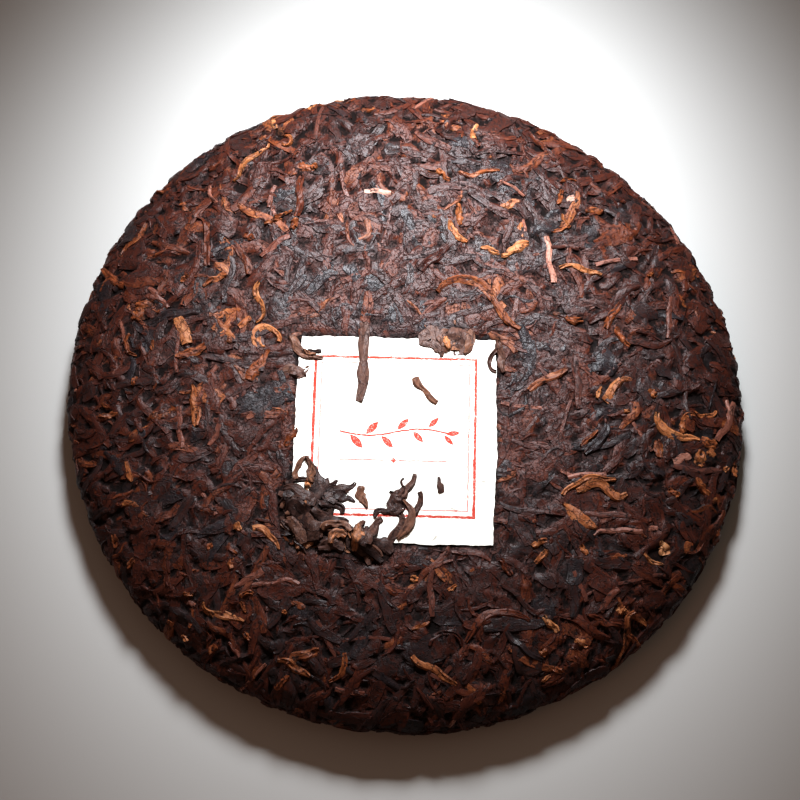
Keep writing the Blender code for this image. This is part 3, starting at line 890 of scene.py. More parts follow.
core_x, core_y, core_faces = core_grids()
lift, tone, depth = core_lift(core_x, core_y)
core_mesh = mesh_from(
    "pressed_core", FACE.place(core_x, core_y, lift), core_faces, tone=tone, depth=depth,
    edge=np.full_like(tone, CORE_EDGE), grain=np.stack((core_x, core_y, np.zeros_like(core_x)), -1),
)
core_mesh.shade_smooth()
core = new_piece("pressed_core", core_mesh, ["tea_cake"])
print("pressed_core:", 2 * len(core_mesh.polygons), "triangles")

# %% [markdown]
# ## The paper ticket
# The ticket is a sheet of soft rice paper, laid on the leaves in the bag and pressed in with them. A cloth
# simulation would let it hang over every tip and take minutes, but pressed paper follows the dome and takes
# only a faint imprint of what lies under it. So a fine grid is draped over the softened bed and given a
# thickness, as one closed sheet. Its edges aren't quite straight. It stands where the solid's sheet is.

# %% Edges and faces of a sheet
WAVE_LENGTHS = (31.0, 13.0, 7.0, 3.6, 2.1)


def waver(along, size):
    """A seeded wavering line: the offset at each place along an edge."""
    offset = np.zeros_like(along)
    for length in WAVE_LENGTHS:
        phase = draw.uniform(0.0, 2 * math.pi)
        swing = draw.uniform(0.4, 1.0) * math.sqrt(length / WAVE_LENGTHS[1])
        offset += swing * np.sin(2 * math.pi * along / length + phase)
    return size * offset


def ticket_plan(across, down):
    """Plan points of points in the ticket's own axes."""
    cosine, sine = math.cos(TICKET_TURN), math.sin(TICKET_TURN)
    x = TICKET_MIDDLE[0] + across * cosine - down * sine
    return np.stack((x, TICKET_MIDDLE[1] + across * sine + down * cosine), -1)


def closed_sheet(rows, columns):
    """Faces of a sheet of two grids, with the second one below the first."""
    point = np.arange(rows * columns).reshape(rows, columns)
    top = np.stack((point[:-1, :-1], point[:-1, 1:], point[1:, 1:], point[1:, :-1]), -1).reshape(-1, 4)
    loop = np.concatenate((point[0, :-1], point[:-1, -1], point[-1, :0:-1], point[:0:-1, 0]))
    ahead = np.roll(loop, -1)
    below = rows * columns
    walls = np.stack((loop, loop + below, ahead + below, ahead), -1)
    return np.concatenate((top, top[:, ::-1] + below, walls))


print("a sheet of 3 by 3 points has", len(closed_sheet(3, 3)), "faces")

# %% The ticket as a sheet
TICKET_BULGE = 0.9
TICKET_LIFT, MOST_LIFT = 0.62, 1.1
TICKET_PAPER = 0.16
TICKET_CELL = 0.5
IMPRINT, IMPRINT_FINE, IMPRINT_WIDE = 0.55, 1.4, 9.0
CRINKLE, CRINKLE_SIZE = 0.05, 1.8
EDGE_WAVER = 0.13

wide, long = int(TICKET_WIDTH / TICKET_CELL) + 1, int(TICKET_LENGTH / TICKET_CELL) + 1
across, down = np.meshgrid(np.linspace(-0.5, 0.5, wide), np.linspace(-0.5, 0.5, long))
bulged = TICKET_WIDTH + 2 * TICKET_BULGE * (1 - 4 * down**2)
right_edge, left_edge = waver(down * TICKET_LENGTH, EDGE_WAVER), waver(down * TICKET_LENGTH, EDGE_WAVER)
far_edge, near_edge = waver(across * TICKET_WIDTH, EDGE_WAVER), waver(across * TICKET_WIDTH, EDGE_WAVER)
ticket_x = across * bulged + (0.5 + across) * right_edge + (0.5 - across) * left_edge
ticket_y = down * TICKET_LENGTH + (0.5 + down) * far_edge + (0.5 - down) * near_edge
ticket_spots = FACE.from_plan(ticket_plan(ticket_x, ticket_y).reshape(-1, 2))
relief = blurred(face_top.height, IMPRINT_FINE) - blurred(face_top.height, IMPRINT_WIDE)
crinkle = blurred(draw.normal(0.0, 1.0, relief.shape), CRINKLE_SIZE)
sheet = TICKET_LIFT + IMPRINT * relief + CRINKLE * crinkle / crinkle.std()
sheet_lift = np.clip(face_top.read(*ticket_spots.T, sheet), UNDER_TICKET + TICKET_PAPER, MOST_LIFT)
sheet_points = np.concatenate(
    (FACE.place(*ticket_spots.T, sheet_lift), FACE.place(*ticket_spots.T, sheet_lift - TICKET_PAPER))
)
print_spots = np.stack((ticket_x.ravel(), ticket_y.ravel(), np.zeros(ticket_x.size)), -1)
ticket_mesh = mesh_from(
    "ticket", sheet_points, closed_sheet(long, wide), printed=np.concatenate((print_spots, print_spots))
)
ticket_mesh.shade_smooth()
ticket_mesh.set_sharp_from_angle(angle=CREASE)
ticket = new_piece("ticket", ticket_mesh, ["paper_ticket"])
on_sheet = under_ticket(bed_x, bed_y) > 0.999
face_top.height[on_sheet] = np.maximum(face_top.height, sheet)[on_sheet]
lifts = f"{sheet_lift.min():.2f} to {sheet_lift.max():.2f}"
print(f"ticket: {2 * len(ticket_mesh.polygons)} triangles, lift {lifts} mm")

# %% [markdown]
# ## The leaves that catch the eye
# Some leaves are known one by one: they are large, or gold, or lie alone. Chance would never put them where
# they belong. So each is drawn by a few points on the face, seen from above, and by its width, and is laid
# last, on the pressed face, into which it sinks a little. A strand's section here has a groove, as a leaf
# has that rolled in from both edges.

# %% Laying single leaves
BAND = Kind(
    (8.0, 30.0), (1.6, 5.0), (0.75, 1.0), 15,
    ((-1.0, -0.2), (-0.88, 0.6), (-0.5, 1.0), (0.0, 0.78), (0.45, 0.98), (0.87, 0.65), (1.0, -0.2)),
    twist=0.26, crumple=0.16, ragged=0.13, taper=0.24, follow=0.35, stiffness=3,
)
ROD = Kind(
    (6.0, 25.0), (1.0, 2.2), (0.75, 1.0), 12,
    ((-1.0, -0.1), (-0.75, 0.75), (-0.15, 1.0), (0.3, 0.9), (0.75, 0.75), (1.0, -0.1)),
    twist=0.1, crumple=0.08, ragged=0.08, taper=0.1, follow=0.1, stiffness=5,
)
SHEET = Kind(
    (5.0, 20.0), (3.0, 8.0), (0.4, 0.55), 13,
    ((-1.0, -0.3), (-0.93, 0.8), (-0.6, 1.0), (-0.2, 0.9), (0.2, 1.0), (0.6, 0.9), (0.93, 0.8), (1.0, -0.3)),
    twist=0.5, crumple=0.5, ragged=0.2, taper=0.3, follow=0.7, stiffness=1,
)
SINK = 0.3
WAVINESS = 0.02


def smooth_path(points, count):
    """Even points along a smooth curve through a few given ones."""
    points = np.asarray(points, float)
    run = np.concatenate(([0.0], np.cumsum(np.linalg.norm(np.diff(points, axis=0), axis=1))))
    even = np.linspace(0.0, run[-1], count)
    degree = min(len(points) - 1, 4)
    return np.stack([np.polyval(np.polyfit(run, points[:, axis], degree), even) for axis in (0, 1)], -1)


def lay_leaf(kind, points, width, tone, bed, sink=SINK, keel=KEEL):
    """One leaf along plan points, as a row for leaf_piece. It may have several widths along it."""
    line = FACE.from_plan(smooth_path(points, kind.stations))
    middle = line.mean(0)
    distance = max(np.linalg.norm(middle), 1e-6)
    tangent = np.array((-middle[1], middle[0])) / distance
    local = line - middle
    local -= tangent * (local @ tangent)[:, None] * (1 - 1 / FACE.stretch(distance))
    length = np.linalg.norm(np.diff(local, axis=0), axis=1).sum()
    share = np.linspace(0.0, 2 * math.pi, kind.stations)
    heading = np.gradient(local, axis=0)
    aside = np.stack((-heading[:, 1], heading[:, 0]), -1) / np.linalg.norm(heading, axis=1)[:, None]
    wave = np.sin(draw.uniform(1.0, 2.0) * share + draw.uniform(0.0, 2 * math.pi))
    local += aside * (WAVINESS * length * wave)[:, None]
    thickness = between(draw, kind.thickness, 1)
    widths = np.atleast_1d(width)
    widths = np.interp(np.linspace(0.0, 1.0, kind.stations), np.linspace(0.0, 1.0, len(widths)), widths)
    batch = Leaves(kind, local[None], widths, thickness, np.array([tone]), draw)
    batch.set_down(FACE, middle[None])
    batch.drape(bed, sink)
    return batch, batch.height, np.array([True]), keel


def lay_all(name, kind, rows):
    """Lays rows of (points, width, tone) on the pressed face, as part of the piece of this name."""
    for points, width, tone in rows:
        face_batches[name].append(lay_leaf(kind, points, width, tone, face_top))
    print(f"{name}: {len(rows)} single leaves")


print(f"a single leaf has {BAND.stations} stations")

# %% [markdown]
# Next come their places, in millimetres from the middle of the face. The last number of a row is its tone,
# from 0, dark, to 1, pale, within the finish of its kind. Broad flat patches come first, because longer
# leaves lie over them.

# %% Flat patches
PATCHES = (
    (((57.3, 45.3), (63.1, 47.7), (71.0, 54.6)), (5.0, 8.0, 7.0), 0.8),
    (((59.2, 40.6), (62.1, 45.6)), (4.0, 6.0, 4.0), 0.75),
    (((38.5, 46.5), (42.2, 50.8), (47.1, 56.2)), (3.0, 6.0, 4.0), 0),
    (((34.6, 17.5), (35.9, 11.1), (34.9, 4.8), (30.1, -3.7)), (4.0, 6.5, 5.5, 3.0), 0),
    (((53.7, -11.8), (57.8, -9.5), (61.2, -10.6)), 4.5, 0),
    (((-68.2, -49.3), (-64.7, -52.9), (-63.2, -56.4)), (5.0, 7.0, 4.0), 0.75),
    (((47.3, -80.4), (49.3, -78.4)), (3.0, 5.0, 4.0), 0.85),
    (((20.1, -84.8), (20.1, -88.6), (18.7, -92.1)), (3.0, 6.0, 4.0), 0.7),
    (((39.7, 9.0), (43.2, 11.0), (46.7, 9.2)), (4.0, 7.0, 5.0), 0.05),
    (((53.5, 3.1), (57.1, 5.8), (61.7, 3.4)), (4.0, 8.0, 5.0), 0),
)
lay_all("flakes", SHEET, PATCHES)

# %% [markdown]
# Long reddish and dark strands give the face its drawing. The longest is tan, and bends round the ticket's
# far right corner.

# %% Long strands
SLATE, DUSKY, RUDDY, TAN = 0.02, 0.4, 0.75, 0.95
RUSSET = (
    (((-84.4, 36.7), (-78.2, 33.1), (-71.5, 33.2)), 4.4, RUDDY),
    (((-75.1, 18.6), (-70.1, 21.2), (-64.2, 22.2), (-59.8, 21.6)), (2.2, 3.4, 3.6, 3.0), SLATE),
    (((-66.7, 8.4), (-62.3, 9.2), (-57.9, 11.5)), 3.4, TAN),
    (((-31.5, 51.8), (-32.9, 48.4)), 2.4, TAN),
    (((9.8, 28.2), (14.2, 30.9), (18.9, 31.6), (23.6, 29.7), (27.4, 24.8), (30.2, 19.7),
      (33.7, 15.6)), (3.0, 3.4, 3.4, 3.0, 2.6, 3.6, 3.2), TAN),
    (((38.6, 84.8), (43.0, 79.7), (47.5, 75.5)), 2.4, RUDDY),
    (((17.0, 91.8), (13.9, 87.0), (10.5, 82.4)), 3.6, DUSKY),
    (((70.2, 31.5), (63.7, 26.8), (58.2, 20.6), (54.6, 18.1)), (3.0, 4.4, 4.4, 3.0), DUSKY),
    (((35.9, -3.0), (40.9, 0.2), (47.4, 3.2)), 3.0, TAN),
    (((68.3, -25.2), (71.2, -26.5), (74.0, -28.2)), 3.4, SLATE),
    (((72.7, -17.4), (73.3, -22.8)), 3.2, TAN),
    (((51.6, -22.2), (55.2, -19.1), (57.6, -16.0), (58.5, -13.2)), (2.4, 3.4, 3.0, 2.4), SLATE),
    (((50.5, -20.2), (52.9, -18.0), (55.6, -15.4)), 1.6, TAN),
    (((91.3, -35.7), (89.4, -39.9), (86.3, -43.6), (82.6, -48.2), (79.7, -49.2)),
      (2.2, 3.4, 4.0, 2.4, 1.6), RUDDY),
    (((86.4, 1.1), (83.3, -1.3), (80.9, -3.0)), 2.6, DUSKY),
    (((-32.8, -82.1), (-28.9, -80.8), (-23.3, -79.5)), 3.0, TAN),
    (((16.8, -76.6), (20.2, -72.1), (23.3, -69.5), (28.1, -68.6), (32.0, -68.6), (34.8, -70.5)),
      (2.0, 2.8, 3.2, 2.6, 2.8, 2.0), RUDDY),
    (((50.9, -68.1), (55.1, -69.9), (60.2, -70.8)), 2.0, RUDDY),
    (((33.8, -58.9), (34.3, -65.7)), 3.4, RUDDY),
    (((27.1, -53.9), (29.9, -58.2)), 2.0, RUDDY),
    (((2.1, -73.3), (4.6, -72.8), (7.1, -71.4)), 1.6, TAN),
    (((-51.6, 45.0), (-47.3, 40.0), (-45.3, 33.9)), (2.4, 3.2, 2.6), RUDDY),
    (((-61.0, 53.1), (-58.4, 50.9), (-57.9, 45.0), (-57.6, 37.1)), (1.8, 2.2, 2.2, 3.0), RUDDY),
    (((-58.0, 70.6), (-55.0, 72.2), (-53.3, 73.6)), 2.6, RUDDY),
    (((-74.2, 63.5), (-73.1, 59.1), (-75.7, 56.4)), (3.4, 3.8, 2.6), DUSKY),
    (((-30.3, 66.6), (-30.7, 59.5), (-31.2, 52.5)), 2.6, RUDDY),
    (((4.8, 35.1), (9.3, 39.2), (13.4, 42.9)), 3.4, DUSKY),
    (((7.4, -78.0), (10.2, -74.4), (13.5, -74.4), (15.7, -77.9)), 1.8, DUSKY),
    (((28.3, -73.6), (32.5, -77.7), (38.0, -81.2)), 2.2, SLATE),
)
lay_all("strands", BAND, RUSSET)

# %% [markdown]
# Stems are stiff and straight. A few have lost their bark, and are among the brightest spots of the face.

# %% Stems
STICKS = (
    (((-11.6, 61.5), (-8.0, 61.2), (-3.8, 60.4)), 2.2, 1),
    (((43.0, 47.0), (43.1, 41.9), (43.6, 36.5), (44.3, 31.5)), (2.4, 2.4, 2.4, 2.6), 0.8),
    (((44.0, 42.9), (47.9, 43.8), (52.4, 43.3)), 1.6, 0.08),
    (((29.0, 65.5), (32.6, 64.2), (35.0, 62.5), (36.4, 60.7)), 1.2, 0.7),
    (((35.9, 53.0), (36.4, 48.5)), 1.2, 0.7),
    (((49.4, 60.6), (51.8, 61.1)), 2.8, 1),
    (((-75.0, 30.8), (-71.9, 27.3), (-69.1, 24.1)), 2.0, 0.35),
    (((-65.2, -7.7), (-65.0, -14.4), (-64.2, -20.5)), 2.2, 0.35),
    (((-56.1, -20.0), (-53.9, -16.1), (-53.1, -13.4)), 2.0, 0.3),
    (((49.9, 8.3), (50.2, -1.1), (50.6, -8.8)), 2.6, 0.06),
    (((79.4, 28.5), (78.7, 21.1), (77.8, 14.6)), 2.0, 0.3),
    (((96.7, -3.0), (94.6, -8.5), (92.3, -13.3), (90.7, -15.9)), (2.8, 2.6, 2.6, 2.2), 0.5),
    (((94.6, -2.9), (94.7, -7.6)), 1.6, 0.65),
    (((77.1, -23.8), (81.9, -21.4)), 2.8, 0.75),
    (((77.1, -24.7), (82.3, -25.9), (86.7, -25.6), (91.2, -24.7)), 2.2, 0.1),
    (((46.6, -29.6), (51.8, -28.8), (57.5, -28.3)), 1.8, 0.5),
    (((50.0, -40.7), (55.8, -40.2), (63.5, -40.5)), 2.2, 0.15),
    (((53.3, -46.4), (56.8, -44.8), (61.4, -44.6), (67.1, -44.4)), 1.8, 0.5),
    (((68.9, -43.7), (71.5, -43.3)), 1.8, 0.6),
    (((-47.7, -61.7), (-43.8, -59.6), (-39.6, -57.4)), (1.8, 2.4, 2.6), 0.4),
    (((-42.6, -61.3), (-37.5, -60.9), (-33.3, -60.1), (-29.1, -61.0)), 1.8, 0.35),
    (((-61.2, -65.5), (-58.9, -66.7)), 1.8, 0.5),
    (((-49.1, -76.8), (-45.7, -80.7)), 1.4, 0.35),
    (((7.7, -57.0), (7.4, -62.7), (8.2, -70.0)), 2.2, 0.2),
    (((54.6, -67.4), (56.9, -64.0), (59.6, -61.0)), 2.4, 0.3),
    (((-41.9, 39.8), (-38.2, 43.4), (-33.5, 46.3)), (1.8, 2.6, 2.2), 0.3),
    (((-57.5, 64.3), (-57.0, 60.7), (-55.1, 57.7)), 1.4, 0.5),
)
lay_all("stems", ROD, STICKS)

# %% [markdown]
# Gold tips are young buds covered in fine hair, which turns gold in the making. Some are crumpled flat, two
# are short thick blocks, and most are thin and curled.

# %% Crumpled and short gold tips
CRUMPLED = (
    (((-43.1, 80.5), (-39.5, 81.0)), 3.2, 0.25),
    (((-31.5, 68.8), (-26.4, 69.7)), (4.5, 4.0, 2.5), 0.22),
    (((-66.1, 58.8), (-62.6, 56.8), (-61.0, 54.6)), (3.0, 4.0, 2.0), 0.2),
    (((-80.2, 26.2), (-76.7, 20.7)), (3.4, 5.6, 4.0), 0.28),
    (((-78.7, 26.4), (-71.7, 23.6)), 3.0, 0.2),
    (((-56.1, 19.8), (-53.3, 22.0), (-48.5, 20.8)), (4.0, 6.0, 5.0), 0.4),
    (((-55.5, 17.8), (-51.9, 14.5), (-49.4, 12.5)), (4.0, 5.0, 4.0), 0.35),
    (((-74.7, -12.1), (-68.9, -9.3), (-66.3, -8.8)), (2.0, 5.0, 4.0), 0.08),
    (((59.2, -65.6), (61.4, -67.4)), 3.0, 0.65),
    (((47.4, -75.1), (50.8, -76.4)), (2.0, 3.0, 1.6), 0.5),
)
BLOCKS = (
    (((-65.9, 20.6), (-63.2, 12.1)), 4.4, 0.55),
    (((-48.1, 16.9), (-44.7, 20.0)), 2.4, 0.4),
)
lay_all("golden_tips", SHEET, CRUMPLED)
lay_all("golden_tips", ROD, BLOCKS)

# %% Curled gold tips
GOLDEN = (
    (((-40.0, 78.4), (-44.1, 74.5), (-47.7, 71.0), (-48.2, 68.1), (-50.2, 65.0)),
      (1.2, 1.7, 1.7, 2.1, 1.3), 0.57),
    (((-35.8, 81.6), (-33.6, 79.3), (-34.5, 77.4), (-36.3, 77.5)), 1.5, 0.53),
    (((-27.3, 68.7), (-25.8, 70.5)), 2.2, 0.41),
    (((-38.1, 52.3), (-35.4, 53.6), (-33.0, 55.0)), 1.6, 0.29),
    (((-41.0, 50.4), (-38.3, 51.3), (-35.7, 51.9)), 1.6, 0.33),
    (((-39.0, 87.2), (-38.3, 84.4)), 2.0, 0.66),
    (((-40.4, 90.7), (-37.3, 91.4), (-34.9, 92.8)), 1.8, 0.37),
    (((-74.6, 64.7), (-71.5, 64.4)), 1.6, 0.37),
    (((-76.2, 53.3), (-78.1, 49.6), (-81.9, 46.1), (-84.2, 43.2)), (1.6, 2.2, 2.4, 2.2), 0.16),
    (((-46.3, 47.1), (-44.5, 45.0)), 3.0, 0.16),
    (((-65.5, 32.2), (-63.2, 34.1)), 2.0, 0.25),
    (((-58.9, 30.5), (-55.7, 32.6), (-51.9, 34.1)), (2.0, 2.4, 2.6), 0.29),
    (((13.8, 51.4), (14.7, 48.0), (16.7, 46.0), (18.8, 44.3)), (2.4, 2.8, 2.6, 2.0), 0.61),
    (((16.0, 57.4), (16.5, 54.6), (16.5, 50.1)), 2.4, 0.37),
    (((22.9, 42.7), (25.6, 41.7), (28.5, 40.8)), 2.2, 0.61),
    (((28.8, 40.1), (32.1, 41.5), (35.1, 43.6), (37.2, 43.7)), (2.0, 3.2, 3.6, 3.6), 0.78),
    (((46.2, 36.6), (50.7, 37.1), (55.1, 35.6), (59.0, 34.5)), (1.8, 2.2, 2.2, 2.4), 0.7),
    (((10.1, 69.1), (11.9, 67.3), (13.9, 65.5)), 2.0, 0.45),
    (((22.4, 86.8), (21.4, 83.8), (21.1, 81.1)), (2.0, 2.4, 2.6), 0.66),
    (((16.7, 68.8), (21.5, 67.8), (26.0, 69.4), (29.1, 69.5)), 1.8, 0.29),
    (((46.6, 58.3), (47.6, 61.6), (48.3, 63.8)), 2.2, 0.33),
    (((47.8, 66.6), (50.2, 67.9), (52.7, 67.3)), 1.6, 0.33),
    (((48.0, 54.9), (49.1, 51.8), (50.3, 50.8)), 1.4, 0.49),
    (((44.2, 48.8), (47.2, 49.6), (50.0, 51.1)), 1.5, 0.37),
    (((55.0, 56.7), (57.7, 57.2), (60.8, 57.7)), 2.4, 0.29),
    (((64.3, 25.1), (61.2, 21.4), (59.5, 16.7)), (2.4, 3.0, 2.6), 0.25),
    (((62.5, 17.5), (63.8, 13.7), (66.1, 11.3)), 2.2, 0.25),
    (((47.3, 20.1), (49.9, 18.9), (52.5, 19.7)), (2.0, 3.0, 2.0), 0.2),
    (((73.1, 35.0), (75.0, 36.9)), 1.6, 0.49),
    (((-40.6, 9.7), (-42.7, 13.5), (-42.2, 16.1), (-39.6, 17.0), (-37.2, 14.7), (-36.6, 12.1)),
      (3.0, 3.0, 2.8, 2.6, 2.4, 2.0), 0.66),
    (((-42.6, 31.5), (-43.4, 28.5), (-41.9, 25.2), (-41.4, 20.6), (-43.1, 18.1)),
      (1.8, 2.4, 2.0, 1.6, 1.4), 0.57),
    (((-39.4, 9.6), (-41.1, 5.9), (-43.9, 2.2), (-45.3, 0.3)), (2.2, 3.2, 5.0, 4.0), 0.2),
    (((-61.6, -1.0), (-60.6, -5.4), (-60.2, -10.0), (-60.0, -14.0)), (2.0, 3.0, 3.4, 3.0), 0.4),
    (((-80.6, 16.4), (-81.7, 13.9), (-81.0, 10.9), (-78.5, 9.1)), 1.4, 0.29),
    (((-89.5, 40.2), (-86.1, 35.1), (-82.7, 32.4)), 3.0, 0.1),
    (((-89.3, -8.9), (-83.6, -9.0)), 2.2, 0.25),
    (((-79.6, -0.3), (-78.5, 2.5)), 1.8, 0.25),
    (((-33.9, -20.5), (-30.9, -14.8)), 2.6, 0.15),
    (((-73.8, 10.4), (-73.7, 13.6)), 1.4, 0.33),
    (((45.3, -35.2), (49.7, -31.0), (56.1, -29.6), (60.1, -30.0)), (2.2, 2.4, 2.4, 2.6), 0.5),
    (((48.8, -33.7), (53.7, -31.4), (58.3, -32.8), (60.5, -35.0), (63.4, -34.3)),
      (2.4, 2.6, 3.0, 4.0, 2.6), 0.45),
    (((45.0, -37.6), (47.8, -39.9), (50.9, -42.4), (54.0, -44.3)), (2.0, 4.4, 4.2, 2.4), 0.45),
    (((73.3, -9.1), (73.7, -13.1), (76.3, -15.1), (79.8, -15.8), (85.0, -16.6)),
      (2.6, 3.2, 3.6, 3.0, 2.6), 0.65),
    (((84.2, -9.0), (81.2, -10.1), (80.2, -13.0), (80.7, -14.8)), 2.0, 0.45),
    (((84.2, -8.1), (86.5, -9.1), (88.9, -8.7), (90.8, -7.0)), 1.8, 0.5),
    (((85.6, -16.3), (87.9, -17.3), (90.4, -16.2)), 4.0, 0.45),
    (((87.6, -19.2), (89.0, -21.2)), 3.4, 0.55),
    (((85.5, -19.9), (84.1, -24.3)), 3.6, 0.6),
    (((84.0, -27.9), (85.3, -30.8), (87.0, -32.4)), 2.4, 0.4),
    (((75.3, -32.0), (77.9, -33.9)), 2.4, 0.3),
    (((95.5, -21.6), (95.0, -25.3)), 2.2, 0.45),
    (((91.8, -24.9), (93.0, -23.6)), 1.8, 0.8),
    (((49.6, -49.1), (51.2, -51.9)), 2.0, 0.5),
    (((67.2, -51.0), (69.5, -52.6), (72.6, -53.6)), 1.6, 0.65),
    (((57.9, -6.1), (60.3, -2.6), (63.4, 0.4), (66.3, 0.8)), (4.0, 3.4, 2.2, 2.4), 0.55),
    (((55.9, -5.3), (56.9, -1.8)), 1.6, 0.7),
    (((63.3, -9.3), (65.1, -9.2)), 1.4, 0.6),
    (((71.5, -2.0), (72.9, -4.5)), 2.4, 0.4),
    (((89.9, -41.0), (88.0, -45.3)), 3.4, 0.1),
    (((-56.4, -65.7), (-54.9, -68.5), (-51.5, -69.5), (-47.8, -69.9), (-44.7, -71.3)),
      (1.4, 2.0, 2.6, 2.4, 1.4), 0.6),
    (((-42.9, -44.7), (-40.0, -45.3), (-37.2, -48.0), (-35.1, -51.2)), (3.2, 2.6, 2.0, 1.2), 0.55),
    (((-47.5, -43.4), (-46.3, -45.7)), (2.4, 3.2, 2.0), 0.6),
    (((-33.5, -45.8), (-31.2, -49.8)), 2.6, 0.15),
    (((-48.7, -53.7), (-48.6, -56.6)), 2.4, 0.4),
    (((-55.9, -50.6), (-54.2, -49.8)), 2.4, 0.25),
    (((-79.3, -54.4), (-77.3, -52.5)), 2.2, 0.2),
    (((-83.7, -44.7), (-83.0, -48.5)), 2.4, 0.15),
    (((-62.4, -63.2), (-59.6, -63.6)), 1.6, 0.4),
    (((-62.5, -73.8), (-60.7, -75.5)), 1.5, 0.55),
    (((-54.4, -79.1), (-52.8, -77.2)), 2.4, 0.2),
    (((-44.9, -74.4), (-42.9, -76.1)), 2.0, 0.3),
    (((-45.9, -64.9), (-44.0, -63.5), (-42.3, -63.8)), 1.6, 0.3),
    (((-45.9, -66.0), (-44.2, -68.8)), 1.4, 0.3),
    (((-34.0, -68.8), (-32.6, -69.1)), 1.6, 0.65),
    (((-35.0, -81.5), (-31.6, -82.7), (-28.8, -84.6), (-26.0, -86.0)), (1.6, 2.4, 2.6, 2.0), 0.35),
    (((-35.8, -88.8), (-33.3, -87.3), (-32.2, -85.7)), 2.0, 0.2),
    (((2.1, -80.8), (6.0, -83.2), (10.1, -85.4), (14.3, -88.3)), (3.2, 2.6, 2.4, 2.4), 0.55),
    (((38.5, -69.3), (40.4, -71.2), (42.6, -73.3)), (2.0, 2.4, 2.6), 0.75),
    (((35.9, -50.0), (38.2, -48.8), (40.2, -48.2)), 2.5, 0.4),
    (((36.7, -54.6), (38.7, -52.6), (39.9, -50.8)), (1.6, 2.2, 2.4), 0.55),
    (((1.8, -59.3), (4.0, -59.8)), 2.4, 0.7),
    (((12.4, -62.9), (14.7, -61.2)), 1.6, 0.45),
    (((64.3, -67.0), (61.9, -70.5), (61.8, -73.8), (60.1, -78.3), (58.0, -81.8)),
      (1.6, 2.6, 3.0, 2.0, 1.4), 0.25),
    (((62.4, -72.7), (65.2, -74.5)), 2.0, 0.25),
    (((37.5, -78.2), (39.2, -79.8)), 2.8, 0.3),
    (((38.0, -86.6), (40.2, -84.7)), 1.4, 0.5),
    (((40.5, -82.8), (43.6, -83.8)), 2.0, 0.2),
    (((72.3, -46.8), (73.1, -48.7), (73.6, -50.7)), (1.4, 3.4, 5.0), 0.9),
    (((-16.3, -79.9), (-16.6, -84.2), (-20.5, -87.7)), (2.0, 2.2, 1.6), 0.3),
)
lay_all("golden_tips", BAND, GOLDEN)

# %% [markdown]
# ## Leaves across the ticket
# A few leaves came to lie on the paper: a long strand from the far edge, a twig, a forked sprig, a curl at
# each side, and a heap that hides the near left corner. They could be part of the pieces made so far, but
# each stands for a solid of its own, so each is a piece of its own. They touch the paper and barely sink
# into it.

# %% Laying leaves across the ticket
ON_PAPER = 0.12
PATH_POINTS = 20
SPREAD = 1.2
BIT_LENGTH, BIT_WIDTH, BIT_TONE = 0.6, 0.85, (0.36, 0.34)
CROSSING = []


def scattered(lines, count, kinds):
    """Small leaves laid at seeded places around the lines."""
    rows = []
    while len(rows) < count:
        path = smooth_path(lines[int(draw.integers(len(lines)))], PATH_POINTS)
        spot = path[int(draw.integers(PATH_POINTS))] + draw.normal(0.0, SPREAD, 2)
        kind = kinds[int(draw.integers(len(kinds)))]
        length = float(between(draw, kind.length, 1)[0]) * BIT_LENGTH
        width = float(between(draw, kind.width, 1)[0]) * BIT_WIDTH
        turn = draw.uniform(0.0, math.pi)
        half = 0.5 * length * np.array((math.cos(turn), math.sin(turn)))
        tone = float(np.clip(draw.normal(*BIT_TONE), 0.0, 1.0))
        line = (spot - half, spot, spot + half)
        rows.append(lay_leaf(kind, line, width, tone, face_top, ON_PAPER, ON_PAPER))
    return rows


def lay_across(name, node, leaves, under=()):
    """Lays rows of (kind, points, width, tone) over those under them, as the piece for a solid."""
    rows = list(under)
    for kind, points, width, tone in leaves:
        rows.append(lay_leaf(kind, points, width, tone, face_top, ON_PAPER, ON_PAPER))
    CROSSING.append((name, node, rows))
    print(f"{name}: {len(rows)} leaves")


print(f"leaves on the paper sink {ON_PAPER} mm")

# %% [markdown]
# The four that lie alone come first. The sprig is made of eight leaves that spread from one spot.

